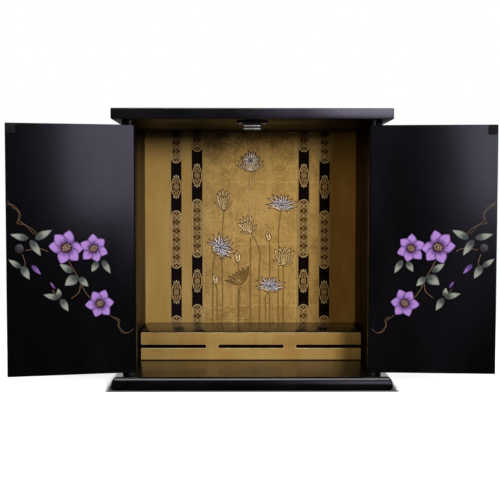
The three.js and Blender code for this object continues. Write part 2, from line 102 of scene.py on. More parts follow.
class AltarLacquer(bpy.types.PropertyGroup):
    """Black lacquer on every board."""
    black: colour("Black", "Colour of the lacquer", (0.0008, 0.0007, 0.001))
    haze: colour("Haze", "Colour where the polish is slightly cloudy", (0.0024, 0.0021, 0.003))
    # inside is a warm maroon black: painted reflection of the gold interior in the black faces inside the
    # case
    inside: colour("Inside", "Warmer black of the faces inside the case", (0.004, 0.0011, 0.0004))
    worn: colour("Worn edge", "Colour of the thin lacquer along the edges", (0.03, 0.025, 0.024))
    roughness: share("Roughness", "Roughness of the polished faces", 0.22)
    satin: share("Satin", "Roughness of the faces inside the case", 0.46)
    arris: length("Arris", "Width of the softened edges of the boards", 0.6 * MM)
    door_arris: length("Door arris", "Width of the softened edges of the doors", 1.1 * MM)
    fine_arris: length("Fine arris", "Width of the softened edges of thin pieces", 0.3 * MM)
    peel: length("Orange peel", "Height of the faint waviness of the lacquer", 0.02 * MM)


class AltarBase(bpy.types.PropertyGroup):
    """Rounded nose of the base board."""
    nose_height: length("Nose height", "Height of the widest line of the nose", 8 * MM)
    upper_reach: length("Upper reach", "How far the top edge stands back", 8 * MM)
    lower_reach: length("Lower reach", "How far the bottom edge stands back", 4 * MM)
    corner: length("Corner", "Radius of the two front corners in plan", 3 * MM)


class AltarGold(bpy.types.PropertyGroup):
    """Gold surfaces of the interior."""
    leaf: colour("Leaf", "Gold leaf behind the lotuses", (0.66, 0.425, 0.13))
    leaf_bright: colour("Leaf flecks", "Doubled, untouched flecks of the leaf", (0.98, 0.70, 0.27))
    # leaf_dark also colours the painted shade at the top of the leaf
    leaf_dark: colour("Leaf shadow", "Thin places in the gold leaf", (0.20, 0.095, 0.016))
    plain: colour("Plain gold", "Smooth gold of the side fields and the step", (0.57, 0.38, 0.115))
    plain_warm: colour("Warm gold", "Warmer clouds in the smooth gold", (0.50, 0.30, 0.08))
    leaf_square: length("Leaf square", "Side of one square of gold leaf", 109 * MM)
    seam_level: length("Seam level", "Height of one seam between the squares", 316 * MM)
    water_top: length("Water top", "Height where the shade over the water begins", 112 * MM)
    edge: length("Edge", "Width of the softened edges of the gold front", 0.5 * MM)
    foot: length("Foot line", "Height of the dark line along the foot of the gold front", 1.4 * MM)


class AltarRelief(bpy.types.PropertyGroup):
    """Lotus relief on the back."""
    rise: length("Rise", "Height of the tallest petals", 2.4 * MM)
    root: length("Root", "How deep the figures sink into the panel", 0.4 * MM)
    stem: length("Stem", "Radius of the stems", 0.75 * MM)
    ripple: length("Ripple", "Radius of the ripples", 0.42 * MM)
    # The relief's tones are partly patina and rubbed metal, and partly painted light: the crests carry
    # painted highlight, the grooves painted shadow.
    crest: colour("Crest", "Rubbed gold on the rims of the petals", (1.0, 0.80, 0.41))
    bowl: colour("Bowl", "Gold inside the petals", (0.40, 0.235, 0.06))
    groove: colour("Groove", "Brown in the grooves round the gold petals", (0.10, 0.048, 0.011))
    silver_groove: colour("Silver groove", "Dark colour between the pale petals", (0.026, 0.015, 0.012))
    silver: colour("Silver", "Silver on the rims of the pale petals", (0.96, 0.94, 0.97))
    lilac: colour("Lilac", "Tint inside the pale petals", (0.30, 0.25, 0.38))
    brown: colour("Brown", "Bronze of the fan leaf", (0.40, 0.25, 0.07))


class AltarBrocade(bpy.types.PropertyGroup):
    """Black and gold brocade strips."""
    border: length("Border", "Width of the gold line along each edge", 1.7 * MM)
    thread: length("Thread", "Radius of the gold outlines", 0.48 * MM)
    scroll: length("Scroll", "Radius of the gold scrolls", 0.46 * MM)
    period: length("Period", "Height of one repeat of the pattern", 186 * MM)
    medallion_level: length("Medallion level", "Height of a medallion on the inner strips", 327 * MM)
    outer_drop: length("Outer drop", "How much lower the pattern hangs on the outer strips", 20 * MM)
    medallion_half: length("Medallion half height", "Half the height of a medallion", 17 * MM)
    panel_half: length("Panel half height", "Half the height of a scroll panel", 51 * MM)
    black: colour("Black", "Satin ground", (0.006, 0.0018, 0.0012))
    bright: colour("Bright thread", "Outlines and dots", (1.0, 0.80, 0.40))
    dull: colour("Dull thread", "Scrolls", (0.92, 0.58, 0.17))
    ground: colour("Panel ground", "Brown gold weave inside the panels", (0.095, 0.036, 0.007))
    edging: colour("Edging", "Gold line along each edge", (0.66, 0.46, 0.17))


class AltarPainting(bpy.types.PropertyGroup):
    """Flower spray painted on the inside of each door."""
    film: length("Film", "Thickness of the paint", 0.08 * MM)
    petal_light: colour("Petal", "Lit part of the petals", (0.27, 0.155, 0.42))
    petal_dark: colour("Petal edge", "Dark violet at the edges and the heart", (0.06, 0.022, 0.12))
    leaf_light: colour("Leaf", "Silver green of the leaves", (0.20, 0.225, 0.19))
    leaf_dark: colour("Leaf edge", "Dark green at the edges and veins", (0.02, 0.026, 0.024))
    gold: colour("Gold brown", "Tendrils and stamens", (0.34, 0.235, 0.15))
    heart: colour("Heart", "Dark ring around the stamens", (0.03, 0.01, 0.018))


class AltarFittings(bpy.types.PropertyGroup):
    """Metal and plastic fittings."""
    steel: colour("Steel", "Zinc plated steel", (0.72, 0.70, 0.72))
    blued: colour("Blued steel", "Dark steel of the pivot pins", (0.05, 0.05, 0.055))
    brass: colour("Brass", "Brass of the knobs", (0.60, 0.42, 0.17))
    plastic: colour("Plastic", "Black plastic of the catch and the strike plates", (0.004, 0.004, 0.0045))
    cap: colour("Cap", "Dark grey screw caps", (0.022, 0.021, 0.026))
    ferrite: colour("Ferrite", "Magnet", (0.03, 0.027, 0.026))
    soft_edge: length("Soft edge", "Width of the softened edges of the fittings", 0.25 * MM)


class AltarStudio(bpy.types.PropertyGroup):
    """Floor, lights and camera."""
    floor: colour("Floor", "Pale floor", (0.9, 0.9, 0.9))
    contact: length("Contact shadow", "Width of the dark line where the base meets the floor", 9 * MM)
    floor_half: length("Floor half width", "From the middle of the floor to its edge", 6.0)
    screen: power("Screen", "Large screen at the front right, which the lacquer mirrors", 36.0)
    front: power("Front", "Light behind the screen, which the lacquer does not mirror", 84.0)
    fill: power("Fill", "Weak warm light from the front left", 26.0)
    behind: power("Backdrop", "Pale backdrop, mirrored at a flat angle under the overhangs", 20.0)
    over: power("Overhead", "Light over the front edge", 32.0)
    ambient: share("Ambient", "Strength of the light from all around", 0.02)
    focal: bpy.props.FloatProperty(name="Focal length", description="Lens in millimetres", default=72.14)


def group_of(name):
    return getattr(bpy.context.scene, name)


# Shader helpers


def add_node(tree, kind, values=None, **settings):
    """Adds a node. values are its inputs by name or number: a number, a colour, or another node's output."""
    made = tree.nodes.new(kind)
    for key, value in settings.items():
        setattr(made, key, value)
    for key, value in (values or {}).items():
        if isinstance(value, bpy.types.NodeSocket):
            tree.links.new(value, made.inputs[key])
        else:
            made.inputs[key].default_value = value
    return made


def math_node(tree, operation, *terms, clamp=False):
    made = add_node(tree, 'ShaderNodeMath', dict(enumerate(terms)), operation=operation, use_clamp=clamp)
    return made.outputs[0]


def mix_colour(tree, factor, first, second, blend='MIX'):
    sides = [side if isinstance(side, bpy.types.NodeSocket) else (*side, 1.0) for side in (first, second)]
    made = add_node(
        tree, 'ShaderNodeMix', {0: factor, 6: sides[0], 7: sides[1]}, data_type='RGBA', blend_type=blend
    )
    return made.outputs[2]


def ramp(tree, factor, low, high, to_low=0.0, to_high=1.0):
    made = add_node(
        tree, 'ShaderNodeMapRange',
        {'Value': factor, 'From Min': low, 'From Max': high, 'To Min': to_low, 'To Max': to_high},
        interpolation_type='SMOOTHSTEP',
    )
    return made.outputs[0]


def cloud(tree, coordinates, scale, detail=3.0, rough=0.55):
    made = add_node(
        tree, 'ShaderNodeTexNoise',
        {'Vector': coordinates, 'Scale': scale, 'Detail': detail, 'Roughness': rough},
    )
    return made.outputs['Fac']


def object_point(tree):
    return add_node(tree, 'ShaderNodeTexCoord').outputs['Object']


def attribute(tree, name):
    return add_node(tree, 'ShaderNodeAttribute', attribute_name=name).outputs['Fac']


def stretched(tree, point, scale):
    return add_node(tree, 'ShaderNodeMapping', {'Vector': point, 'Scale': scale}).outputs[0]


def bump(tree, height, distance, strength=1.0):
    made = add_node(tree, 'ShaderNodeBump', {'Height': height, 'Distance': distance, 'Strength': strength})
    return made.outputs[0]


def node_group(name, inputs, outputs, build):
    """A shader node group, made once. build gets its tree, its inputs and its outputs."""
    if name in bpy.data.node_groups:
        return bpy.data.node_groups[name]
    tree = bpy.data.node_groups.new(name, 'ShaderNodeTree')
    for label, value in inputs.items():
        socket = tree.interface.new_socket(label, in_out='INPUT', socket_type='NodeSocketFloat')
        socket.default_value = value
    for label in outputs:
        tree.interface.new_socket(label, in_out='OUTPUT', socket_type='NodeSocketFloat')
    entry = tree.nodes.new('NodeGroupInput')
    leave = tree.nodes.new('NodeGroupOutput')
    for label, socket in build(tree, entry.outputs).items():
        tree.links.new(socket, leave.inputs[label])
    return tree


def use_group(tree, group, **values):
    """Places a node group. An input's name is written with _ for each space."""
    made = tree.nodes.new('ShaderNodeGroup')
    made.node_tree = group
    for key, value in values.items():
        made.inputs[key.replace('_', ' ')].default_value = value
    return made.outputs


def handled_surface():
    """Rubbing, dust and faint waves that every smooth finish shows."""
    def build(tree, given):
        point = object_point(tree)
        smears = cloud(tree, stretched(tree, point, (1.0, 1.0, 0.35)), given['Smear scale'], 4.0)
        specks = cloud(tree, point, given['Speck scale'], 1.0)
        waves = cloud(tree, point, given['Wave scale'], 2.0)
        return {
            'Smears': ramp(tree, smears, 0.38, 0.68),
            'Specks': ramp(tree, specks, 0.70, 0.76),
            'Waves': waves,
        }
    inputs = {'Smear scale': 14.0, 'Speck scale': 900.0, 'Wave scale': 220.0}
    return node_group('Handled surface', inputs, ['Smears', 'Specks', 'Waves'], build)


def worn_arris():
    """Where an edge is rubbed: the softened faces, broken up along their length."""
    def build(tree, given):
        along = cloud(tree, object_point(tree), given['Break up'], 3.0)
        edge = attribute(tree, 'arris')
        worn = math_node(tree, 'MULTIPLY', edge, ramp(tree, along, 0.30, 0.62), clamp=True)
        return {'Wear': math_node(tree, 'MULTIPLY', worn, given['Amount'])}
    return node_group('Worn arris', {'Break up': 55.0, 'Amount': 0.6}, ['Wear'], build)


def woven():
    """Warp and weft of a fine cloth, with slubs."""
    def build(tree, given):
        split = add_node(tree, 'ShaderNodeSeparateXYZ', {0: object_point(tree)})
        turn = math_node(tree, 'DIVIDE', 2 * math.pi, given['Pitch'])
        across = math_node(tree, 'SINE', math_node(tree, 'MULTIPLY', split.outputs[0], turn))
        along = math_node(tree, 'SINE', math_node(tree, 'MULTIPLY', split.outputs[2], turn))
        cross = math_node(tree, 'MULTIPLY_ADD', math_node(tree, 'MULTIPLY', across, along), 0.5, 0.5)
        slub = cloud(tree, stretched(tree, object_point(tree), (1.0, 1.0, 6.0)), given['Slub scale'], 2.0)
        return {'Height': cross, 'Slub': slub}
    return node_group('Woven cloth', {'Pitch': 0.0007, 'Slub scale': 120.0}, ['Height', 'Slub'], build)


def new_material(name):
    """The material of this name and its nodes, or no nodes where it has been made before."""
    name = f'{name}_finish'
    material = bpy.data.materials.get(name)
    if material:
        return material, None, None
    material = bpy.data.materials.new(name)
    material.use_nodes = True
    tree = material.node_tree
    return material, tree, tree.nodes['Principled BSDF']


def link(tree, socket, shader, name):
    tree.links.new(socket, shader.inputs[name])


# Index of refraction of each lacquer, which says how strongly its boards mirror the studio
LACQUERS = {'black_lacquer': 1.42, 'satin_lacquer': 1.36, 'matt_lacquer': 1.15, 'bright_lacquer': 1.85}
INSIDE_LACQUERS = ('satin_lacquer', 'matt_lacquer')
SPECK_COLOUR = (0.03, 0.028, 0.03)
SPECK_SHARE = 0.2
CLEAR_COAT = 0.1
CLEAR_COAT_ROUGHNESS = 0.12


def lacquer_material(name='black_lacquer'):
    """Polished black lacquer, or one of the duller ones inside the case, whose warm black is a painted
    reflection of the gold.
    """
    look = group_of('altar_lacquer')
    inside = name in INSIDE_LACQUERS
    roughness = look.satin if inside else look.roughness
    # The inside lacquers take the warm maroon black, a painted reflection of the gold interior.
    black, haze = (look.inside, look.inside) if inside else (look.black, look.haze)
    material, tree, shader = new_material(name)
    if tree is None:
        return material
    surface = use_group(tree, handled_surface(), Smear_scale=9.0, Speck_scale=1300.0, Wave_scale=160.0)
    wear = use_group(tree, worn_arris(), Amount=0.5)['Wear']
    body = mix_colour(tree, surface['Smears'], black, haze)
    specks = math_node(tree, 'MULTIPLY', surface['Specks'], SPECK_SHARE)
    body = mix_colour(tree, specks, body, SPECK_COLOUR)
    link(tree, mix_colour(tree, wear, body, look.worn), shader, 'Base Color')
    rough = ramp(tree, surface['Smears'], 0.0, 1.0, roughness * 0.9, roughness * 1.18)
    link(tree, math_node(tree, 'ADD', rough, specks), shader, 'Roughness')
    link(tree, bump(tree, surface['Waves'], look.peel), shader, 'Normal')
    shader.inputs['IOR'].default_value = LACQUERS[name]
    shader.inputs['Coat Weight'].default_value = 0.0 if inside else CLEAR_COAT
    shader.inputs['Coat Roughness'].default_value = CLEAR_COAT_ROUGHNESS
    return material


GOLD_METALLIC = 0.4
# How much each mark thins the gold leaf, and how strong the painted shade is: patches, tone of the square,
# combing, grains, painted shade in clouds at the top under the top board, seams
LEAF_THIN_AND_TOP_SHADE = (0.3, 0.12, 0.12, 0.34, 0.4, -0.35)
LEAF_WATER = 0.16
LEAF_COLUMN_START = 0.27
SEAM_WANDER = 6 * MM
WATER_FADE = 45 * MM
# Pale gold on the softened edges of the plain gold: rubbed gold, and a painted highlight along the arris.
RUBBED_GOLD_AND_HIGHLIGHT = (0.86, 0.74, 0.46)


def leaf_material():
    """Gold leaf in overlapping squares, thin and mottled, with painted shade in clouds towards the top."""
    look = group_of('altar_gold')
    material, tree, shader = new_material('gold_leaf')
    if tree is None:
        return material
    point = object_point(tree)
    split = add_node(tree, 'ShaderNodeSeparateXYZ', {0: point})
    wander = math_node(tree, 'MULTIPLY_ADD', cloud(tree, point, 30.0), SEAM_WANDER, -SEAM_WANDER / 2)
    column = math_node(tree, 'DIVIDE', math_node(tree, 'ADD', split.outputs[0], wander), look.leaf_square)
    column = math_node(tree, 'ADD', column, LEAF_COLUMN_START)
    height = math_node(tree, 'SUBTRACT', split.outputs[2], look.seam_level)
    row = math_node(tree, 'DIVIDE', math_node(tree, 'ADD', height, wander), look.leaf_square)
    square = add_node(
        tree, 'ShaderNodeCombineXYZ',
        {0: math_node(tree, 'FLOOR', column), 1: math_node(tree, 'FLOOR', row), 2: 0.0},
    )
    tone = add_node(tree, 'ShaderNodeTexWhiteNoise', {'Vector': square.outputs[0]}).outputs['Value']
    seams = []
    for line in (column, row):
        near = math_node(tree, 'ABSOLUTE', math_node(tree, 'SUBTRACT', math_node(tree, 'FRACT', line), 0.5))
        seams.append(ramp(tree, near, 0.478, 0.5))
    seam = math_node(tree, 'MAXIMUM', *seams)
    seam = math_node(tree, 'MULTIPLY', seam, ramp(tree, cloud(tree, point, 90.0), 0.35, 0.6))
    patches = ramp(tree, cloud(tree, point, 34.0, 6.0, 0.7), 0.40, 0.66)
    combed = cloud(tree, stretched(tree, point, (1.0, 1.0, 0.05)), 260.0, 2.0)
    grains = cloud(tree, point, 420.0, 3.0, 0.75)
    # upper and worn paint shade onto the leaf in clouds towards the top, where the top board overhangs it;
    # upper also brings more bright flecks there
    upper = ramp(tree, split.outputs[2], look.seam_level - 0.25 * look.leaf_square, CAD_HIGH.z)
    worn = ramp(tree, cloud(tree, point, 75.0, 5.0, 0.75), 0.44, 0.60)
    thinning_and_shade = (
        patches, tone, ramp(tree, combed, 0.4, 0.7), ramp(tree, grains, 0.46, 0.66),
        math_node(tree, 'MULTIPLY', worn, upper), seam,
    )
    thin = ramp(tree, split.outputs[2], look.water_top, look.water_top - WATER_FADE, 0.0, LEAF_WATER)
    for leaf_mark, weight in zip(thinning_and_shade, LEAF_THIN_AND_TOP_SHADE):
        thin = math_node(tree, 'MULTIPLY_ADD', leaf_mark, weight, thin)
    thin = math_node(tree, 'ADD', thin, 0.0, clamp=True)
    body = mix_colour(tree, thin, look.leaf, look.leaf_dark)
    flecks = ramp(tree, cloud(tree, point, 230.0, 4.0, 0.85), 0.52, 0.64)
    flecks = math_node(tree, 'MULTIPLY', flecks, math_node(tree, 'MULTIPLY_ADD', upper, 0.5, 0.22))
    link(tree, mix_colour(tree, flecks, body, look.leaf_bright), shader, 'Base Color')
    link(tree, ramp(tree, thin, 0.0, 1.0, 0.44, 0.62), shader, 'Roughness')
    relief = math_node(tree, 'ADD', math_node(tree, 'MULTIPLY', grains, 0.6), combed)
    relief = math_node(tree, 'ADD', relief, math_node(tree, 'MULTIPLY', seam, -0.5))
    link(tree, bump(tree, relief, 0.12 * MM), shader, 'Normal')
    shader.inputs['Metallic'].default_value = GOLD_METALLIC
    return material


def plain_gold_material(name, depth):
    """Smooth gold film with soft upright clouds. depth darkens all of it, painted shade that makes a darker
    copy of the same gold.
    """
    look = group_of('altar_gold')
    material, tree, shader = new_material(name)
    if tree is None:
        return material
    point = object_point(tree)
    surface = use_group(tree, handled_surface(), Smear_scale=20.0, Speck_scale=700.0, Wave_scale=90.0)
    # On the plain gold the worn arris is rubbed gold and a painted highlight along the edges.
    wear = use_group(tree, worn_arris(), Amount=0.8)['Wear']
    clouds = ramp(tree, cloud(tree, stretched(tree, point, (1.0, 1.0, 0.3)), 24.0, 3.0), 0.35, 0.65)
    light, warm = [tuple(depth * c for c in shade) for shade in (look.plain, look.plain_warm)]
    body = mix_colour(tree, clouds, light, warm)
    body = mix_colour(tree, math_node(tree, 'MULTIPLY', surface['Specks'], 0.5), body, look.leaf_dark)
    link(tree, mix_colour(tree, wear, body, RUBBED_GOLD_AND_HIGHLIGHT), shader, 'Base Color')
    link(tree, ramp(tree, surface['Smears'], 0.0, 1.0, 0.44, 0.54), shader, 'Roughness')
    link(tree, bump(tree, surface['Waves'], 0.04 * MM), shader, 'Normal')
    shader.inputs['Metallic'].default_value = GOLD_METALLIC
    return material


def carved_material():
    """Gilded and silvered carving: bright rims of rubbed metal with painted highlight, tinted bowls, dark
    grooves of patina with painted shadow.
    """
    look = group_of('altar_relief')
    material, tree, shader = new_material('carved_gold')
    if tree is None:
        return material
    tone = attribute(tree, 'tone')
    silver = attribute(tree, 'silver')
    brown = attribute(tree, 'brown')
    rubbed = math_node(tree, 'MULTIPLY_ADD', cloud(tree, object_point(tree), 420.0, 3.0), 0.3, -0.15)
    tone = math_node(tree, 'ADD', tone, rubbed, clamp=True)
    bowl = mix_colour(tree, silver, look.bowl, look.lilac)
    crest = mix_colour(tree, silver, look.crest, look.silver)
    groove = mix_colour(tree, silver, look.groove, look.silver_groove)
    body = mix_colour(tree, ramp(tree, tone, 0.08, 0.42), groove, bowl)
    body = mix_colour(tree, ramp(tree, tone, 0.48, 0.86), body, crest)
    bronze = mix_colour(tree, ramp(tree, tone, 0.1, 0.9), look.groove, look.brown)
    link(tree, mix_colour(tree, brown, body, bronze), shader, 'Base Color')
    link(tree, ramp(tree, tone, 0.0, 1.0, 0.6, 0.26), shader, 'Roughness')
    link(tree, ramp(tree, tone, 0.0, 0.6, 0.1, 0.45), shader, 'Metallic')
    link(tree, bump(tree, cloud(tree, object_point(tree), 900.0, 2.0), 0.08 * MM), shader, 'Normal')
    return material


CLOTH_SHINE = 0.25


def cloth_material(name, thread, shade, metallic, rough):
    """Woven cloth. shade is the colour between the threads, painted shade in the dips of the weave; slubs are
    mottled towards it too.
    """
    material, tree, shader = new_material(name)
    if tree is None:
        return material
    weave = use_group(tree, woven(), Pitch=0.0008)
    body = mix_colour(tree, ramp(tree, weave['Height'], 0.2, 0.8), shade, thread)
    body = mix_colour(tree, ramp(tree, weave['Slub'], 0.42, 0.7, 0.0, 0.5), body, shade)
    link(tree, body, shader, 'Base Color')
    link(tree, ramp(tree, weave['Slub'], 0.3, 0.7, rough, rough * 1.3), shader, 'Roughness')
    link(tree, bump(tree, weave['Height'], 0.1 * MM), shader, 'Normal')
    shader.inputs['Metallic'].default_value = metallic
    shader.inputs['Specular IOR Level'].default_value = CLOTH_SHINE
    return material


def paint_material(name, light, dark, veins):
    """Hand painted colour: light inside, dark edges, and fine lines that run along the figure."""
    material, tree, shader = new_material(name)
    if tree is None:
        return material
    tone = attribute(tree, 'tone')
    across = attribute(tree, 'across')
    along = attribute(tree, 'along')
    lines = math_node(tree, 'SINE', math_node(tree, 'MULTIPLY', across, veins))
    lines = math_node(tree, 'MULTIPLY', ramp(tree, lines, 0.2, 1.0), ramp(tree, along, 0.95, 0.3))
    brush = cloud(tree, object_point(tree), 300.0, 3.0)
    tone = math_node(tree, 'MULTIPLY', tone, ramp(tree, along, 0.0, 0.7, 0.35, 1.15))
    tone = math_node(tree, 'ADD', tone, math_node(tree, 'MULTIPLY_ADD', brush, 0.5, -0.25))
    tone = math_node(tree, 'SUBTRACT', tone, math_node(tree, 'MULTIPLY', lines, 0.3), clamp=True)
    body = mix_colour(tree, ramp(tree, tone, 0.1, 0.85), dark, light)
    link(tree, body, shader, 'Base Color')
    link(tree, ramp(tree, brush, 0.3, 0.7, 0.42, 0.55), shader, 'Roughness')
    link(tree, bump(tree, brush, 0.02 * MM), shader, 'Normal')
    return material


def moulded_material(name, body_colour, metallic, rough, grain, shine=0.5):
    """Moulded, plated or turned fittings: fine grain, rubbed edges. grain is the height of the grain."""
    material, tree, shader = new_material(name)
    if tree is None:
        return material
    surface = use_group(tree, handled_surface(), Smear_scale=60.0, Speck_scale=2400.0, Wave_scale=1500.0)
    wear = use_group(tree, worn_arris(), Break_up=160.0, Amount=0.5)['Wear']
    darker = tuple(0.72 * c for c in body_colour)
    lighter = tuple(min(1.0, 1.5 * c + 0.03) for c in body_colour)
    body = mix_colour(tree, surface['Smears'], body_colour, darker)
    link(tree, mix_colour(tree, wear, body, lighter), shader, 'Base Color')
    link(tree, ramp(tree, surface['Smears'], 0.0, 1.0, rough, rough * 1.25), shader, 'Roughness')
    link(tree, bump(tree, surface['Waves'], grain), shader, 'Normal')
    shader.inputs['Metallic'].default_value = metallic
    shader.inputs['Specular IOR Level'].default_value = shine
    return material


def black_plastic(look):
    return moulded_material('black_plastic', look.plastic, 0.0, 0.42, 0.015 * MM, 0.18)


# Mesh helpers

SHARP_EDGE = math.radians(30.0)
FLAT_ENOUGH = math.radians(1.0)
# How closely a face has to look along a direction to count as facing it
FACING = 0.9
TOUCHING = 1e-7


def finished(name, bm, materials, body, nodes=(), smooth=40.0):
    """Turns a bmesh into a piece that rides on a body. Edges sharper than smooth, in degrees, stay sharp."""
    if not bm.loops.layers.float.get('arris'):
        bm.loops.layers.float.new('arris')
    bmesh.ops.recalc_face_normals(bm, faces=bm.faces)
    mesh = bpy.data.meshes.new(name)
    bm.to_mesh(mesh)
    bm.free()
    if 'custom_normal' in mesh.attributes:
        mesh.attributes.remove(mesh.attributes['custom_normal'])
    for material in materials:
        mesh.materials.append(material)
    mesh.shade_smooth()
    mesh.set_sharp_from_angle(angle=math.radians(smooth))
    piece = bpy.data.objects.new(name, mesh)
    bpy.context.scene.collection.objects.link(piece)
    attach(piece, body)
    if nodes:
        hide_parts(*nodes)
    return piece


def merged_copy(node):
    """The packed solid of a node as one clean shell."""
    bm = bmesh.new()
    bm.from_mesh(NODES[node].data)
    bmesh.ops.remove_doubles(bm, verts=bm.verts, dist=MERGE)
    bmesh.ops.dissolve_limit(
        bm, angle_limit=FLAT_ENOUGH, verts=bm.verts, edges=bm.edges, use_dissolve_boundaries=False
    )
    return bm


def soften(bm, width):
    """Rounds the sharp edges and marks the new faces as arris."""
    edges = [e for e in bm.edges if e.is_manifold and e.calc_face_angle(0.0) > SHARP_EDGE]
    made = bmesh.ops.bevel(
        bm, geom=edges, offset=width, affect='EDGES', segments=3, profile=0.5, material=-1,
        clamp_overlap=True,
    )
    arris = bm.loops.layers.float.new('arris')
    for face in made['faces']:
        for loop in face.loops:
            loop[arris] = 1.0


def softened_piece(name, node, width, material, body, inner=None, facing=None):
    """A node's solid with soft edges. The faces that look along facing take the inner material."""
    bm = merged_copy(node)
    soften(bm, width)
    materials = [material]
    if inner:
        materials.append(inner)
        for face in bm.faces:
            if face.normal.dot(Vector(facing)) > FACING:
                face.material_index = 1
    return finished(name, bm, materials, body, [node])


def use_slot(bm, before, slot):
    """Gives a material slot to the faces made since the bmesh had that many faces."""
    bm.faces.ensure_lookup_table()
    for face in bm.faces[before:]:
        face.material_index = slot


def slab(bm, low, high):
    """Adds a plain box between two corners to an empty bmesh."""
    bmesh.ops.create_cube(bm, size=1.0)
    place = Matrix.LocRotScale((low + high) / 2, None, high - low)
    bmesh.ops.transform(bm, matrix=place, verts=bm.verts)


def cut_across(bm, point, normal, **settings):
    """Cuts everything in a bmesh with a plane."""
    everything = [*bm.verts, *bm.edges, *bm.faces]
    return bmesh.ops.bisect_plane(
        bm, geom=everything, plane_co=point, plane_no=normal, dist=TOUCHING, **settings
    )


def upright(x, y):
    """From figures drawn in X and Y, with height along Z, to an upright face that looks out of the case."""
    return Matrix.Translation((x, y, 0)) @ Matrix.Rotation(math.pi / 2, 4, 'X')


def risen(bm, rings):
    """Adds a closed form that rises through a stack of rings, each a list of its corners."""
    face = bm.faces.new([bm.verts.new(point) for point in rings[0]])
    foot = list(face.edges)
    for ring in rings[1:]:
        face = bmesh.ops.extrude_discrete_faces(bm, faces=[face])['faces'][0]
        for vert, point in zip(face.verts, ring):
            vert.co = point
    bmesh.ops.edgeloop_fill(bm, edges=foot)


def spun(profile, place, steps):
    """A closed turning. profile is a list of (radius, height), and place sets it in the frame."""
    bm = bmesh.new()
    verts = [bm.verts.new((radius, 0.0, height)) for radius, height in profile]
    edges = [bm.edges.new(pair) for pair in zip(verts, verts[1:])]
    bmesh.ops.spin(
        bm, geom=verts + edges, cent=(0, 0, 0), axis=(0, 0, 1), dvec=(0, 0, 0), angle=2 * math.pi,
        steps=steps, use_merge=True,
    )
    bmesh.ops.remove_doubles(bm, verts=bm.verts, dist=MERGE * 0.1)
    bmesh.ops.transform(bm, matrix=place, verts=bm.verts)
    return bm


def line_mesh(paths, radius, resolution):
    """Round lines along paths of (x, y, z, thickness) points, as a mesh that the caller removes."""
    data = bpy.data.curves.new('lines', 'CURVE')
    data.dimensions = '3D'
    data.bevel_depth = radius
    data.bevel_resolution = resolution
    data.use_fill_caps = True
    for path in paths:
        spline = data.splines.new('POLY')
        spline.points.add(len(path) - 1)
        for point, (x, y, z, thick) in zip(spline.points, path):
            point.co = (x, y, z, 1.0)
            point.radius = thick
    holder = bpy.data.objects.new('lines', data)
    bpy.context.scene.collection.objects.link(holder)
    graph = bpy.context.evaluated_depsgraph_get()
    mesh = bpy.data.meshes.new_from_object(holder.evaluated_get(graph))
    bpy.data.objects.remove(holder)
    bpy.data.curves.remove(data)
    return mesh


def add_lines(bm, paths, radius, flat, place, material, resolution=1):
    """Adds lines drawn in X and Y to a bmesh. flat is their height as a share of their width."""
    before = len(bm.verts)
    faces_before = len(bm.faces)
    mesh = line_mesh([[(x, y, 0.0, thick) for x, y, thick in path] for path in paths], radius, resolution)
    mesh.transform(place @ Matrix.Diagonal((1.0, 1.0, flat, 1.0)))
    bm.from_mesh(mesh)
    bpy.data.meshes.remove(mesh)
    use_slot(bm, faces_before, material)
    bm.verts.ensure_lookup_table()
    return bm.verts[before:]


def smooth_path(points, steps=6, thick=(1.0, 1.0)):
    """A curve through points of (x, y), as (x, y, thickness) with the thickness running from end to end."""
    guide = [points[0], *points, points[-1]]
    found = []
    for i in range(len(points) - 1):
        p0, p1, p2, p3 = (Vector(guide[i + k]) for k in range(4))
        for k in range(steps):
            t = k / steps
            at = 0.5 * (
                2 * p1 + (p2 - p0) * t + (2 * p0 - 5 * p1 + 4 * p2 - p3) * t * t
                + (3 * p1 - p0 - 3 * p2 + p3) * t ** 3
            )
            found.append(at)
    found.append(Vector(points[-1]))
    last = len(found) - 1
    return [(p.x, p.y, thick[0] + (thick[1] - thick[0]) * i / last) for i, p in enumerate(found)]


def pointed_half_width(u, shape):
    """Half width of a figure at u from its foot to its tip, as a share of its widest place. shape says how
    sharp the foot and the tip are: 0.5 is round, 1 is pointed."""
    u = min(max(u, 0.0), 1.0)
    foot, tip = shape
    widest = foot / (foot + tip)
    return (u / widest) ** foot * ((1.0 - u) / (1.0 - widest)) ** tip


ON_AXIS = 1e-6
# How much lower a figure is at its foot and tip than at its middle, as a share of its height
END_DROP = 0.3


def figure_layers(bm):
    return {name: bm.verts.layers.float.new(name) for name in ('tone', 'silver', 'brown', 'along', 'across')}


def add_figure(bm, layers, place, size, rings, points=14, shape=(0.7, 0.8), silver=0.0, brown=0.0, bend=0.0):
    """A pointed figure lying in X and Y with its foot at the origin: size is its length and width, and each
    ring is (share of the outline, height, tone)."""
    reach, wide = size
    made = bmesh.ops.create_circle(bm, cap_ends=True, segments=points, radius=1.0)
    face = made['verts'][0].link_faces[0]
    turns = [math.atan2(v.co.y, v.co.x) for v in face.verts]
    foot = list(face.edges)
    for step, (part, height, tone) in enumerate(rings):
        if step:
            face = bmesh.ops.extrude_discrete_faces(bm, faces=[face])['faces'][0]
        spine = 1.0 - (1.0 - part) * 0.5
        for vert, turn in zip(face.verts, turns):
            u = 0.5 + 0.5 * math.cos(turn)
            half = pointed_half_width(u, shape) * wide / 2 * part * math.copysign(1.0, math.sin(turn))
            if abs(math.sin(turn)) < ON_AXIS:
                half = 0.0
            x = reach * (0.5 + (u - 0.5) * spine)
            y = half + bend * (x / reach) ** 2 * reach
            arched = 1.0 - END_DROP + END_DROP * math.sin(math.pi * u) if step else 1.0
            vert.co = place @ Vector((x, y, height * arched))
            vert[layers['tone']] = tone
            vert[layers['silver']] = silver
            vert[layers['brown']] = brown
            vert[layers['along']] = u
            vert[layers['across']] = half / wide * 2
    bmesh.ops.edgeloop_fill(bm, edges=foot)


# Boards


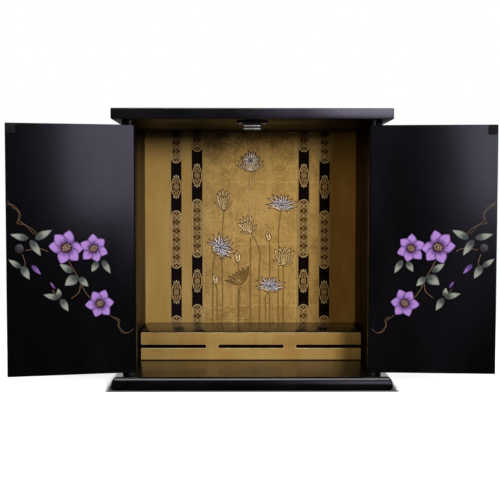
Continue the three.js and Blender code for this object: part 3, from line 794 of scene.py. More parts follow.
class ALTAR_OT_boards(bpy.types.Operator):
    """Soften and lacquer the boards of the case and the step"""
    bl_idname = "altar.boards"
    bl_label = "Lacquered boards"

    def execute(self, context):
        look = context.scene.altar_lacquer
        lacquer = lacquer_material()
        satin, matt, bright = [lacquer_material(f'{kind}_lacquer') for kind in ('satin', 'matt', 'bright')]
        faces = {
            'top_board': (bright, matt, (0, 0, -1)),
            'left_side': (lacquer, satin, (1, 0, 0)),
            'right_side': (lacquer, matt, (-1, 0, 0)),
        }
        for node, (outside, inner, facing) in faces.items():
            softened_piece(
                f'{node}_lacquered', node, look.arris, outside, CABINET, inner, facing
            )
        for node in ('back_board', 'step_top', 'step_left_side', 'step_right_side', 'step_inner_front'):
            finish = matt if node == 'step_inner_front' else lacquer
            softened_piece(f'{node}_lacquered', node, look.fine_arris, finish, CABINET)
        return {'FINISHED'}


NOSE_STEPS = 14
CORNER_STEPS = 8


class ALTAR_OT_base(bpy.types.Operator):
    """Make the base board with its rounded nose and front corners"""
    bl_idname = "altar.base"
    bl_label = "Base board"

    def execute(self, context):
        shape = context.scene.altar_base
        low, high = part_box('base_board')
        rise = high.z - low.z - shape.nose_height
        turns = [math.pi / 2 * i / NOSE_STEPS for i in range(NOSE_STEPS + 1)]
        levels = [
            (low.z + shape.nose_height * (1 - math.cos(t)), shape.lower_reach * (1 - math.sin(t)))
            for t in turns
        ]
        levels += [
            (low.z + shape.nose_height + rise * math.sin(t), shape.upper_reach * (1 - math.cos(t)))
            for t in turns[1:]
        ]
        rings = [self.outline(low, high, reach, z, shape.corner) for z, reach in levels]
        bm = bmesh.new()
        risen(bm, rings)
        lacquer = lacquer_material()
        finished('base_board_lacquered', bm, [lacquer], CABINET, ['base_board'], smooth=50.0)
        return {'FINISHED'}

    def outline(self, low, high, reach, z, corner):
        """Plan of the board at one height: square at the back, rounded at the front."""
        left = low.x + reach
        right = high.x - reach
        front = low.y + reach
        points = [Vector((right, high.y, z)), Vector((left, high.y, z))]
        for centre_x, start in ((left + corner, math.pi), (right - corner, math.pi * 1.5)):
            for i in range(CORNER_STEPS + 1):
                turn = start + math.pi / 2 * i / CORNER_STEPS
                points.append(Vector((
                    centre_x + corner * math.cos(turn), front + corner + corner * math.sin(turn), z,
                )))
        return points


class ALTAR_OT_doors(bpy.types.Operator):
    """Soften and lacquer the two doors"""
    bl_idname = "altar.doors"
    bl_label = "Doors"

    def execute(self, context):
        look = context.scene.altar_lacquer
        for side in ('left', 'right'):
            node = f'{side}_door'
            softened_piece(
                f'{node}_lacquered', node, look.door_arris, lacquer_material(), node
            )
        return {'FINISHED'}


# Gold back with its lotus relief


class Lotus(NamedTuple):
    """One figure of the relief, from its foot. x, wide, tall and stem_x are shares of the pond's width, up is
    a share of its height, and lean is in radians from upright."""
    kind: str
    x: float
    up: float
    wide: float
    tall: float
    lean: float
    stem_x: float


LOTUS_FIGURES = [
    Lotus('crowned', 0.0, 0.796, 0.265, 0.193, 0.0, 0.0),
    Lotus('cup', -0.28, 0.591, 0.157, 0.211, -0.05, -0.3),
    Lotus('silver', 0.325, 0.591, 0.313, 0.151, 0.12, 0.3),
    Lotus('cup', 0.006, 0.4725, 0.181, 0.181, -0.45, 0.096),
    Lotus('silver', -0.373, 0.366, 0.277, 0.205, 0.75, -0.4),
    Lotus('bud', 0.202, 0.431, 0.054, 0.096, -0.25, 0.205),
    Lotus('cup', 0.349, 0.303, 0.229, 0.187, 0.1, 0.35),
    Lotus('bud', -0.13, 0.318, 0.06, 0.12, -0.1, -0.13),
    Lotus('fan_leaf', -0.085, 0.208, 0.16, 0.15, -0.55, -0.115),
    Lotus('bud', -0.367, 0.202, 0.06, 0.108, -0.12, -0.355),
    Lotus('silver', 0.205, 0.164, 0.289, 0.145, 0.1, 0.163),
]
# Patches of ripples: x and half width as shares of the pond's width, up as a share of its height
RIPPLES = [(-0.373, 0.036, 0.096), (-0.229, 0.059, 0.133), (-0.157, 0.03, 0.157), (-0.036, 0.045, 0.072)]
RIPPLES_PER_WIDTH = 230
GROOVE = 1.8 * MM
BURST_HEART = 1.6 * MM
# Height of the middle and the top layer of petals, and of a thin petal, as shares of the tallest rise
MIDDLE_LAYER, TOP_LAYER, THIN_PETAL = 0.4, 0.72, 0.4
STEM_FOOT = 0.004
STEM_SWAY = 0.6 * MM
# Width of the dark bed under a line, patina and painted shadow along it, as a share of the line
STEM_BED, RIPPLE_BED = 1.6, 1.2
TALLEST_STEM = 1.4
RIPPLE_SEED = 7
# Materials of the gold back, in the order of its slots
LEAF, PLAIN, CARVED = range(3)


class ALTAR_OT_gold_back(bpy.types.Operator):
    """Make the gold back panel with its leaf, its plain fields and the lotus relief"""
    bl_idname = "altar.gold_back"
    bl_label = "Gold back"

    def execute(self, context):
        self.look = context.scene.altar_relief
        rise = self.look.rise
        self.low, self.middle, self.top = 0.0, rise * MIDDLE_LAYER, rise * TOP_LAYER
        self.thin = rise * THIN_PETAL
        low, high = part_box('gold_back_panel')
        face_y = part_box('brocade_strip_inner_left')[1].y
        self.place = upright(0, face_y)
        strips = [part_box(f'brocade_strip_{name}') for name in ('inner_right', 'outer_right')]
        middles = [(a.x + b.x) / 2 for a, b in strips]
        self.pond_width = 2 * strips[0][0].x
        self.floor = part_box('step_top')[1].z
        self.pond_height = high.z - self.floor
        bm = bmesh.new()
        slab(bm, Vector((low.x, face_y, low.z)), high)
        for x in (-middles[1], -middles[0], middles[0], middles[1]):
            cut_across(bm, (x, 0, 0), (1, 0, 0))
        for face in bm.faces:
            x = face.calc_center_median().x
            face.material_index = LEAF if -middles[0] < x < middles[1] else PLAIN
        self.layers = figure_layers(bm)
        self.bm = bm
        panel_faces = len(bm.faces)
        for lotus in LOTUS_FIGURES:
            draw = getattr(self, lotus.kind)
            wide, tall = lotus.wide * self.pond_width, lotus.tall * self.pond_width
            draw(self.spot(lotus.x, lotus.up), wide, tall, lotus.lean)
        use_slot(bm, panel_faces, CARVED)
        self.add_stems()
        materials = [leaf_material(), plain_gold_material('plain_gold', 1.0), carved_material()]
        finished('gold_back', bm, materials, CABINET, ['gold_back_panel'], smooth=55.0)
        return {'FINISHED'}

    def spot(self, x, up):
        """A place on the pond, from shares of its width and height."""
        return Vector((x * self.pond_width, self.floor + up * self.pond_height))

    def petal(self, foot, turn, reach, wide, base, lift, hollow, bend=0.0, **finish):
        """One petal, turned from upright, in a dark groove: a low ring toned as patina and painted shadow. It
        stands between base and base + lift above the gold. hollow is the tone of its bowl, which has a bright
        rim of rubbed gold and painted highlight. With 0 it has a bright ridge instead."""
        place = self.place @ Matrix.Translation((foot.x, foot.y, 0)) @ Matrix.Rotation(
            math.pi / 2 - turn, 4, 'Z'
        )
        groove = 1.0 + GROOVE / wide
        rings = [(groove + 0.1, 0.06, 0.0), (groove, 0.12, 0.0)]
        if hollow:
            rings += [(1.0, 0.5, 0.1), (0.93, 1.0, 1.0), (0.76, 0.9, 0.9)]
            rings += [(0.56, 0.5, hollow), (0.14, 0.62, hollow + 0.12)]
        else:
            rings += [(0.95, 0.4, 0.25), (0.62, 0.95, 0.9), (0.16, 1.0, 1.0)]
        rings = [(part, base + lift * height, tone) for part, height, tone in rings]
        rings.insert(0, (groove + 0.1, -self.look.root, 0.0))
        add_figure(self.bm, self.layers, place, (reach, wide), rings, bend=bend, **finish)

    def row(self, foot, lean, count, spread, reach, outer, wide, base, height, hollow=0.0, **finish):
        """A fan of petals from one foot: reach is the middle petal's length and outer the last one's."""
        order = sorted(range(count), key=lambda i: -abs(2 * i - count + 1))
        for i in order:
            part = (2 * i) / (count - 1) - 1 if count > 1 else 0.0
            long = reach + (outer - reach) * part * part
            lift = height * (1 - 0.12 * abs(part))
            self.petal(foot, lean + part * spread, long, wide, base, lift, hollow, 0.1 * part, **finish)

    def burst(self, centre, lean, count, radii, wide, base, height, **finish):
        """Needle petals all round a centre. radii are the reach sideways, upwards and downwards."""
        side, up, down = radii
        for i in range(count):
            turn = 2 * math.pi * (i + 0.5 + 0.16 * math.sin(4.1 * i)) / count
            end = up if math.cos(turn) > 0 else down
            reach = 1 / math.hypot(math.sin(turn) / side, math.cos(turn) / end)
            reach *= 1.0 + 0.1 * math.sin(2.4 * i)
            start = centre + Vector((math.sin(lean + turn), math.cos(lean + turn))) * BURST_HEART
            bend = 0.05 * math.sin(turn)
            self.petal(start, lean + turn, reach - BURST_HEART, wide, base, height, 0.0, bend, **finish)

    def seeds(self, middle, radius, height, **finish):
        """The dark seed head in the middle of an open flower."""
        place = self.place @ Matrix.Translation((middle.x - radius, middle.y, 0))
        rings = [
            (1.1, -self.look.root, 0.0), (1.0, height * 0.8, 0.12), (0.8, height, 0.34),
            (0.45, height * 0.8, 0.16), (0.15, height * 0.85, 0.3),
        ]
        add_figure(self.bm, self.layers, place, (2 * radius, 1.8 * radius), rings, shape=(0.5, 0.5), **finish)

    def crowned(self, foot, wide, tall, lean):
        """The top lotus: gold petals round a crown of pale rays and a dark seed head."""
        spread = math.atan2(wide / 2, tall * 0.45)
        heart = foot + Vector((math.sin(lean), math.cos(lean))) * tall * 0.55
        rays = (wide * 0.34, tall * 0.46, tall * 0.32)
        core = (5.0 * MM, 4.6 * MM, 4.2 * MM)
        back, front, thin = wide * 0.1, wide * 0.12, self.thin
        self.row(foot, lean, 2, spread * 1.1, 0.0, wide * 0.4, back, self.low, thin)
        self.row(foot, lean, 9, spread * 1.3, tall * 0.92, wide * 0.54, back, self.low, thin, 0.4, silver=0.2)
        self.burst(heart, lean, 15, rays, 2.3 * MM, self.middle, thin, silver=0.55)
        self.seeds(heart, 6.6 * MM, self.look.rise * 0.8, silver=1.0)
        self.burst(heart, lean, 9, core, 0.7 * MM, self.top, thin * 0.6, silver=1.0)
        self.row(foot, lean, 5, spread * 1.1, tall * 0.5, tall * 0.56, front, self.top, thin, 0.4, silver=0.3)

    def silver(self, foot, wide, tall, lean):
        """A silver lotus: three rounds of needle petals over two gold ones."""
        spread = math.atan2(wide / 2, tall * 0.45)
        heart = foot + Vector((math.sin(lean), math.cos(lean))) * tall * 0.36
        ends = (wide * 0.54, tall * 0.64, tall * 0.42)
        inner, core = [tuple(part * end for end in ends) for part in (0.66, 0.36)]
        self.row(foot, lean, 2, spread * 1.1, 0.0, wide * 0.4, wide * 0.1, self.low, self.thin)
        self.burst(heart, lean, 17, ends, 2.8 * MM, self.low, self.thin, silver=0.45)
        self.burst(heart, lean + 0.15, 13, inner, 2.3 * MM, self.middle, self.thin, silver=1.0)
        self.burst(heart, lean + 0.3, 8, core, 1.8 * MM, self.top, self.thin, silver=1.0)
        self.seeds(heart, 1.5 * MM, self.look.rise, silver=1.0)

    def cup(self, foot, wide, tall, lean):
        """A half open gold lotus with petals in three layers."""
        spread = math.atan2(wide / 2, tall * 0.75)
        outer = math.hypot(wide / 2, tall * 0.75)
        thin = self.thin
        self.row(foot, lean, 2, spread * 2.0, 0.0, tall * 0.55, wide * 0.13, self.low, thin, 0.4)
        self.row(foot, lean, 5, spread, tall, outer, wide * 0.22, self.low, thin, 0.4)
        self.row(foot, lean, 4, spread * 0.75, tall * 0.7, outer * 0.8, wide * 0.17, self.middle, thin, 0.36)
        self.row(foot, lean, 3, spread * 0.55, tall * 0.42, tall * 0.46, wide * 0.16, self.top, thin, 0.4)

    def bud(self, foot, wide, tall, lean):
        """A closed bud with two pairs of leaves at its foot."""
        self.row(foot, lean, 1, 0.0, tall, tall, wide * 0.9, self.low, self.look.rise * 0.6, 0.45)
        self.row(foot, lean, 2, 0.32, 0.0, tall * 0.75, wide * 0.42, self.middle, self.thin)
        self.row(foot, lean, 2, 0.55, 0.0, tall * 0.45, wide * 0.3, self.top, self.thin)

    def fan_leaf(self, foot, wide, tall, lean):
        """The bronze leaf, opened like a fan."""
        broad = wide * 0.24
        self.row(foot, lean, 7, 1.0, tall * 0.86, tall * 1.2, broad, self.low, self.thin, 0.35, brown=1.0)

    def add_stems(self):
        """The stems, each in its own dark bed of patina and painted shadow, and the ripples of the water at
        their feet.
        """
        look = self.look
        stems = []
        for lotus in LOTUS_FIGURES:
            foot = self.spot(lotus.x, lotus.up)
            root = self.spot(lotus.stem_x, STEM_FOOT)
            knee = Vector((root.x, root.y + (foot.y - root.y) * 0.8))
            sway = Vector((STEM_SWAY * math.sin(17 * lotus.stem_x), 0))
            points = [root, root.lerp(knee, 0.35) + sway, root.lerp(knee, 0.7) - sway, knee, foot]
            stems.append(smooth_path([tuple(p) for p in points], 8, (1.0, 0.75)))
        bed = [[(px, py, STEM_BED * thick) for px, py, thick in path] for path in stems]
        self.lines(bed, look.stem, 0.22, 0.0)
        self.lines(stems, look.stem, 0.7, 0.62)
        self.lines([stems[0][len(stems[0]) // 2:]], look.stem * TALLEST_STEM, 0.9, 1.1)
        chance = random.Random(RIPPLE_SEED)
        waves = []
        for x, up, half in RIPPLES:
            middle = self.spot(x, up)
            reach = half * self.pond_width
            for _ in range(int(RIPPLES_PER_WIDTH * half)):
                start = middle + Vector((chance.uniform(-1.2, 1.2) * reach, chance.uniform(-1, 1) * 12 * MM))
                long = chance.uniform(4, 12) * MM
                rock = chance.uniform(-0.25, 0.25)
                points = []
                for i in range(5):
                    t = i / 4
                    bow = 0.9 * MM * math.sin(math.pi * t * chance.choice((1, 2)))
                    points.append((start.x + long * (t - 0.5), start.y + bow + rock * long * (t - 0.5)))
                waves.append(smooth_path(points, 3, (0.5, 1.0)))
        bed = [[(px, py, RIPPLE_BED * thick) for px, py, thick in path] for path in waves]
        self.lines(bed, look.ripple, 0.25, 0.4)
        # The crests sit a little up and to the right of the ripples' dark beds: a painted highlight on the
        # side towards the lights.
        lit_crests = [[(px + 0.3 * MM, py + 0.4 * MM, 0.8 * t) for px, py, t in path] for path in waves]
        self.lines(lit_crests, look.ripple, 0.7, 0.85)

    def lines(self, paths, radius, flat, crest):
        """Carved lines. crest is their tone at the top, and at the foot they are dark, patina with painted
        shade.
        """
        verts = add_lines(self.bm, paths, radius, flat, self.place, CARVED)
        inverse = self.place.inverted()
        for vert in verts:
            height = (inverse @ vert.co).z / (radius * flat)
            vert[self.layers['tone']] = crest * min(1.0, max(0.0, height))


# Brocade

# Materials of the brocade, in the order of its slots
BLACK, BRIGHT, DULL, GROUND, EDGING = range(5)
STRIP_SUNK = 0.35 * MM
GROUND_RISE = 0.06 * MM
PANEL_MARGIN = 1.1 * MM
BORDER_STEPS = 60
END_TRIM = 0.05 * MM
# Heights of the outlines and the scrolls as shares of their width
THREAD_FLAT, SCROLL_FLAT, BORDER_FLAT = 0.45, 0.5, 0.3
PANEL_CELLS = 6
PANEL_CELL = 15.4 * MM


def ellipse(cx, cy, rx, ry, steps=28, thick=1.0, start=0.0, sweep=2 * math.pi):
    return [
        (cx + rx * math.cos(start + sweep * i / steps), cy + ry * math.sin(start + sweep * i / steps), thick)
        for i in range(steps + 1)
    ]


def spiral(cx, cy, outer, inner, start, turns, steps=26):
    path = []
    for i in range(steps + 1):
        t = i / steps
        radius = outer + (inner - outer) * t
        turn = start + turns * 2 * math.pi * t
        path.append((cx + radius * math.cos(turn), cy + radius * math.sin(turn), 1.0 - 0.35 * t))
    return path


def capsule(cy, half_width, half_height, steps=12, thick=1.0):
    """An upright outline with straight sides and round ends, round cy."""
    straight = half_height - half_width
    path = []
    for end, start in ((1, 0.0), (-1, math.pi)):
        for i in range(steps + 1):
            turn = start + math.pi * i / steps
            y = cy + end * straight + half_width * math.sin(turn)
            path.append((half_width * math.cos(turn), y, thick))
    path.append(path[0])
    return path


class ALTAR_OT_brocade(bpy.types.Operator):
    """Weave the four brocade strips with their scroll panels and medallions"""
    bl_idname = "altar.brocade"
    bl_label = "Brocade strips"

    def execute(self, context):
        look = context.scene.altar_brocade
        materials = [
            cloth_material('brocade_black', look.black, (0.003, 0.001, 0.001), 0.0, 0.6),
            cloth_material('brocade_bright', look.bright, (0.6, 0.42, 0.18), 0.3, 0.32),
            cloth_material('brocade_dull', look.dull, (0.4, 0.22, 0.06), 0.35, 0.4),
            cloth_material('brocade_ground', look.ground, (0.03, 0.014, 0.006), 0.25, 0.6),
            cloth_material('brocade_edging', look.edging, (0.42, 0.26, 0.08), 0.35, 0.4),
        ]
        for end in ('outer_left', 'inner_left', 'inner_right', 'outer_right'):
            node = f'brocade_strip_{end}'
            low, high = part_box(node)
            drop = look.outer_drop if end.startswith('outer') else 0.0
            bm = self.strip(low, high, look.medallion_level - drop, look)
            finished(f'{node}_woven', bm, materials, CABINET, [node], smooth=60.0)
        return {'FINISHED'}

    def strip(self, low, high, level, look):
        """One strip, with a medallion at level and at every period above and below it."""
        bm = bmesh.new()
        face_y = low.y + STRIP_SUNK
        slab(bm, Vector((low.x, face_y, low.z)), high)
        place = upright((low.x + high.x) / 2, face_y)
        half = (high.x - low.x) / 2
        border_x = half - look.border / 2
        tall = high.z - low.z
        borders = [
            [(side * border_x, low.z + tall * i / BORDER_STEPS, 1.0) for i in range(BORDER_STEPS + 1)]
            for side in (-1, 1)
        ]
        add_lines(bm, borders, look.border / 2, BORDER_FLAT, place, EDGING, 2)
        half_panel = half - look.border - PANEL_MARGIN
        while level > low.z:
            level -= look.period
        while level < high.z + look.period:
            self.medallion(bm, place, level, half_panel, look)
            self.scroll_panel(bm, place, level + look.period / 2, half_panel, look)
            level += look.period
        for z, way in ((low.z, -1), (high.z, 1)):
            cut = cut_across(bm, (0, 0, z - way * END_TRIM), (0, 0, way), clear_outer=True)
            rim = [e for e in cut['geom_cut'] if isinstance(e, bmesh.types.BMEdge)]
            bmesh.ops.holes_fill(bm, edges=rim, sides=0)
        return bm

    def ground(self, bm, place, path):
        """A flat patch of coloured weave inside an outline."""
        before = len(bm.faces)
        rings = [
            [place @ Vector((x, y, z)) for x, y, _ in path[:-1]] for z in (-GROUND_RISE, GROUND_RISE)
        ]
        risen(bm, rings)
        use_slot(bm, before, GROUND)

    def medallion(self, bm, place, level, wide, look):
        """An oval with a ring and a hub, four curls, eight dots and a crown of dots at each end."""
        tall = look.medallion_half
        self.ground(bm, place, ellipse(0, level, wide * 0.93, tall * 0.95, 32))
        bright = [
            ellipse(0, level, wide, tall, 40),
            ellipse(0, level, wide * 0.5, wide * 0.62, 24, 0.6),
            ellipse(0, level, wide * 0.16, wide * 0.2, 14, 0.7),
        ]
        dull = []
        for end in (-1, 1):
            bright.append(ellipse(0, level + end * tall * 0.66, wide * 0.26, wide * 0.26, 16, 0.8))
            for side in (-1, 1):
                dull.append(spiral(
                    side * wide * 0.42, level + end * tall * 0.42, 2.2 * MM, 0.4 * MM,
                    math.pi / 2 * (1 - side), side * end * 1.3,
                ))
                bright.append(self.dot(side * 3.9 * MM, level + end * (tall + 1.2 * MM), 1.2 * MM))
            bright.append(self.dot(0, level + end * (tall + 2.6 * MM), 1.5 * MM))
        ring = wide * 0.36
        for i in range(8):
            turn = math.pi / 4 * i
            dull.append(self.dot(ring * math.cos(turn), level + ring * math.sin(turn), 0.55 * MM))
        add_lines(bm, bright, look.thread, THREAD_FLAT, place, BRIGHT)
        add_lines(bm, dull, look.scroll, SCROLL_FLAT, place, DULL)

    def dot(self, x, y, radius):
        return ellipse(x, y, radius * 0.5, radius * 0.5, 8, 1.3)

    def scroll_panel(self, bm, place, level, wide, look):
        """A long panel of cells, each with a flower between four curls and two leaves."""
        tall = look.panel_half
        self.ground(bm, place, capsule(level, wide * 0.95, tall * 0.99, 10))
        bright = [capsule(level, wide, tall), capsule(level, wide * 0.82, tall - 1.6 * MM, 12, 0.6)]
        dull = []
        for k in range(PANEL_CELLS):
            y = level + (k - (PANEL_CELLS - 1) / 2) * PANEL_CELL
            bright.append(ellipse(0, y, 2.2 * MM, 2.2 * MM, 16, 0.75))
            bright.append(self.dot(0, y, 0.9 * MM))
            for side in (-1, 1):
                for end in (-1, 1):
                    dull.append(spiral(
                        side * 3.9 * MM, y + end * 4.0 * MM, 2.5 * MM, 0.45 * MM,
                        math.pi / 2 * (1 + side) + 0.6 * end, side * end * 1.5,
                    ))
                dull.append(ellipse(side * 5.6 * MM, y, 0.7 * MM, 1.7 * MM, 12, 0.8))
            if k:
                dull.append(ellipse(0, y - PANEL_CELL / 2, 0.9 * MM, 1.9 * MM, 12, 0.8))
        for end in (-1, 1):
            top = level + end * (tall - 4.6 * MM)
            bright.append(self.dot(0, top, 1.3 * MM))
            half_turn = end * math.pi
            bright.append(ellipse(0, top - end * 1.2 * MM, 4.6 * MM, 3.4 * MM, 14, 0.8, half_turn, half_turn))
        add_lines(bm, bright, look.thread, THREAD_FLAT, place, BRIGHT)
        add_lines(bm, dull, look.scroll, SCROLL_FLAT, place, DULL)


# The step front is the same gold darkened as painted shade, because the lights reach it more strongly than
# the back.
STEP_GOLD_PAINTED_SHADE = 0.69


class ALTAR_OT_step_front(bpy.types.Operator):
    """Soften and gild the slotted front of the step"""
    bl_idname = "altar.step_front"
    bl_label = "Step front"

    def execute(self, context):
        look = context.scene.altar_gold
        bm = merged_copy('step_front')
        soften(bm, look.edge)
        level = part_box('step_front')[0].z + look.foot
        cut_across(bm, (0, 0, level), (0, 0, 1))
        for face in bm.faces:
            face.material_index = 1 if face.calc_center_median().z < level else 0
        materials = [plain_gold_material('step_gold', STEP_GOLD_PAINTED_SHADE), lacquer_material('matt_lacquer')]
        finished('step_front_gilded', bm, materials, CABINET, ['step_front'])
        return {'FINISHED'}


# Fittings


def door_place(side):
    """From door coordinates (along from the pivot, out of the inner face, up) to the frame, at rest."""
    joint = next(j for j in frame['joints'] if j['child'] == f'{side}_door')
    pivot = Vector(joint['pos_m'])
    opened = math.radians(joint['range_deg'][1])
    way = -1 if side == 'left' else 1
    along = Vector((-way * math.cos(opened), -math.sin(opened), 0))
    out = Vector((-way * math.sin(opened), math.cos(opened), 0))
    place = Matrix((along, out, Vector((0, 0, 1)))).transposed().to_4x4()
    place.translation = (pivot.x, pivot.y, 0)
    return place


def door_extent(side, node):
    """Lowest and highest corner of a node in door coordinates."""
    inverse = door_place(side).inverted()
    points = [inverse @ v.co for v in NODES[node].data.vertices]
    return (
        Vector([min(p[i] for p in points) for i in range(3)]),
        Vector([max(p[i] for p in points) for i in range(3)]),
    )


DOME_STEPS = 9


class ALTAR_OT_door_fittings(bpy.types.Operator):
    """Turn the knobs and screw caps, and mould the strike plates"""
    bl_idname = "altar.door_fittings"
    bl_label = "Door fittings"

    def execute(self, context):
        look = context.scene.altar_fittings
        brass = moulded_material('turned_brass', look.brass, 1.0, 0.26, 0.004 * MM)
        cap = moulded_material('grey_cap', look.cap, 0.0, 0.4, 0.01 * MM)
        plastic = black_plastic(look)
        for side in ('left', 'right'):
            body = f'{side}_door'
            self.turning(side, f'{side}_knob', self.knob_profile, -1, brass, 'brass')
            self.turning(side, f'{side}_screw_cap', self.cap_profile, 1, cap, 'screw_cap')
            node = f'{side}_strike_plate'
            softened_piece(f'{node}_moulded', node, look.soft_edge, plastic, body)
        return {'FINISHED'}

    def turning(self, side, node, profile, way, material, slot):
        low, high = door_extent(side, node)
        radius = (high.x - low.x) / 2
        root = low.y if way > 0 else high.y
        middle = Vector(((low.x + high.x) / 2, root, (low.z + high.z) / 2))
        place = door_place(side) @ Matrix.Translation(middle) @ Matrix.Rotation(-way * math.pi / 2, 4, 'X')
        bm = spun(profile(radius, high.y - low.y), place, 56)
        finished(f'{node}_turned', bm, [material], f'{side}_door', [node], smooth=50.0)

    def dome(self, radius, tall, rim, shoulder):
        """The end of a turning: a dome that starts at shares of the radius and the height."""
        points = []
        for i in range(1, DOME_STEPS):
            turn = math.pi / 2 * i / DOME_STEPS
            points.append((
                radius * rim * math.cos(turn), tall * (shoulder + (1 - shoulder) * math.sin(turn)),
            ))
        return points + [(0.0, tall)]

    def knob_profile(self, radius, tall):
        """A mushroom knob: flared foot, thin neck, domed head with a small rim."""
        foot = [(0.0, 0.0), (0.62, 0.0), (0.62, 0.05), (0.56, 0.09)]
        neck = [(0.56 - 0.13 * math.sin(math.pi * i / 14), 0.09 + 0.32 * i / 7) for i in range(1, 7)]
        head = [(0.43, 0.43), (0.7, 0.5), (0.95, 0.6), (1.0, 0.66), (1.0, 0.70), (0.95, 0.73)]
        points = [(radius * across, tall * up) for across, up in foot + neck + head]
        return points + self.dome(radius, tall, 0.93, 0.73)

    def cap_profile(self, radius, tall):
        """A low dome with a thin straight rim."""
        return [(0.0, 0.0), (radius, 0.0), (radius, tall * 0.3)] + self.dome(radius, tall, 0.985, 0.32)


SCREW_STEPS = 64
# Reach of the cross recess and half the width of its arms, as shares of the screw's radius
RECESS_REACH, RECESS_HALF = 0.55, 0.14


class ALTAR_OT_catch(bpy.types.Operator):
    """Finish the magnetic catch: plastic body, steel yokes, magnet and cross head screws"""
    bl_idname = "altar.catch"
    bl_label = "Magnetic catch"

    def execute(self, context):
        look = context.scene.altar_fittings
        plastic = black_plastic(look)
        steel = moulded_material('plated_steel', look.steel, 0.6, 0.26, 0.006 * MM)
        ferrite = moulded_material('ferrite', look.ferrite, 0.0, 0.6, 0.05 * MM)
        softened_piece('catch_body_moulded', 'catch_body', look.soft_edge, plastic, CABINET)
        for node in ('catch_yoke_lower', 'catch_yoke_upper'):
            softened_piece(f'{node}_plated', node, look.soft_edge, steel, CABINET)
        softened_piece('catch_magnet_pressed', 'catch_magnet', look.soft_edge, ferrite, CABINET)
        for node in ('catch_screw_left', 'catch_screw_right'):
            self.screw(node, steel)
        return {'FINISHED'}

    def screw(self, node, steel):
        """A domed head, hanging head down, with a cross recess."""
        low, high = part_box(node)
        middle = (low + high) / 2
        radius = (high.x - low.x) / 2
        tall = high.z - low.z

        def ring(reach, depth):
            points = []
            for i in range(SCREW_STEPS):
                turn = 2 * math.pi * i / SCREW_STEPS
                far = reach(turn)
                points.append(Vector((
                    middle.x + far * math.cos(turn), middle.y + far * math.sin(turn), high.z - depth,
                )))
            return points

        def cross(turn):
            c, s = abs(math.cos(turn)), abs(math.sin(turn))
            long, half = RECESS_REACH * radius, RECESS_HALF * radius
            arm_x = min(long / max(c, ON_AXIS), half / max(s, ON_AXIS))
            arm_y = min(half / max(c, ON_AXIS), long / max(s, ON_AXIS))
            return max(arm_x, arm_y)

        rings = []
        for i in range(7):
            turn = math.pi / 2 * i / 8
            rings.append(ring(lambda t, far=radius * math.cos(turn): far, tall * math.sin(turn)))
        for wider, depth in ((1.12, 1.0), (1.0, 0.86), (0.7, 0.35)):
            rings.append(ring(lambda t, wider=wider: cross(t) * wider, tall * depth))
        bm = bmesh.new()
        risen(bm, rings)
        finished(f'{node}_cross_head', bm, [steel], CABINET, [node], smooth=35.0)


PIN_EDGE = 0.35 * MM
# A vertex beyond this share of the collar's radius is on the collar
COLLAR_SHARE = 0.9


class ALTAR_OT_pins(bpy.types.Operator):
    """Turn the four pivot pins with their collars"""
    bl_idname = "altar.pins"
    bl_label = "Pivot pins"

    def execute(self, context):
        look = context.scene.altar_fittings
        steel = moulded_material('blued_steel', look.blued, 0.8, 0.35, 0.006 * MM)
        for end in ('bottom', 'top'):
            for side in ('left', 'right'):
                self.pin(f'pivot_pin_{end}_{side}', steel)
        return {'FINISHED'}

    def pin(self, node, steel):
        """A round pin with a collar, turned to the reach and the levels of its packed solid."""
        low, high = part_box(node)
        middle = (low + high) / 2
        collar = (high.x - low.x) / 2
        reaches = [((v.co.xy - middle.xy).length, round(v.co.z, 6)) for v in NODES[node].data.vertices]
        shaft = min(reach for reach, z in reaches if reach > MERGE)
        rim = [z for reach, z in reaches if reach > COLLAR_SHARE * collar]
        foot, head = min(rim), max(rim)
        profile = [
            (0.0, low.z), (shaft - PIN_EDGE, low.z), (shaft, low.z + PIN_EDGE), (shaft, foot),
            (collar - PIN_EDGE, foot), (collar, foot + PIN_EDGE), (collar, head - PIN_EDGE),
            (collar - PIN_EDGE, head), (shaft, head), (shaft, high.z - PIN_EDGE),
            (shaft - PIN_EDGE, high.z), (0.0, high.z),
        ]
        bm = spun(profile, Matrix.Translation((middle.x, middle.y, 0)), 40)
        finished(f'{node}_turned', bm, [steel], CABINET, [node], smooth=35.0)


# Door painting. Places are millimetres from the pivot towards the free edge, and up from the underside

# Materials of the painting, in the order of its slots
PETAL, GREEN, GOLD, HEART = range(4)
# Middle, radius and the bearings of the petals in degrees
FLOWERS = [
    ((95.4, 214.3), 25.5, (9, 93, 137, 196, 273, 317)),
    ((55.6, 212.5), 21.5, (355, 47, 108, 160, 222, 292)),
    ((46.7, 130.4), 21.5, (20, 83, 140, 197, 262, 327)),
]
# Foot, tip and width as a share of the length
LEAVES = [
    ((149.4, 228.1), (176.6, 232.1), 0.38),
    ((139.9, 226.7), (116.7, 242.1), 0.42),
    ((147.6, 225.4), (130.0, 203.0), 0.40),
    ((160.7, 185.7), (179.5, 196.5), 0.40),
    ((160.2, 187.2), (147.0, 168.5), 0.52),
    ((86.3, 178.0), (106.4, 188.8), 0.46),
    ((80.5, 171.9), (97.0, 156.6), 0.72),
    ((77.3, 169.2), (62.4, 156.9), 0.56),
    ((50.3, 192.8), (57.6, 176.8), 0.58),
    ((43.1, 194.5), (29.3, 175.6), 0.42),
    ((105.6, 140.2), (129.9, 143.4), 0.40),
    ((105.6, 140.6), (108.7, 154.0), 0.64),
    ((104.3, 138.1), (91.5, 120.3), 0.50),
]
BUDS = [((145.0, 188.4), (132.3, 175.0), 0.36), ((112.4, 153.9), (119.1, 163.4), 0.30)]
STEMS = [
    [(92.0, 194.0), (84.5, 180.5), (77.9, 168.6), (70.5, 152.0), (61.0, 138.5)],
    [(75.5, 158.7), (77.5, 148.0), (88.7, 138.6)],
    [(109.0, 142.0), (116.0, 152.0)],
    [(121.9, 208.6), (134.0, 213.0), (154.0, 210.5)],
    [(158.4, 204.5), (154.6, 192.0), (156.0, 187.5)],
]
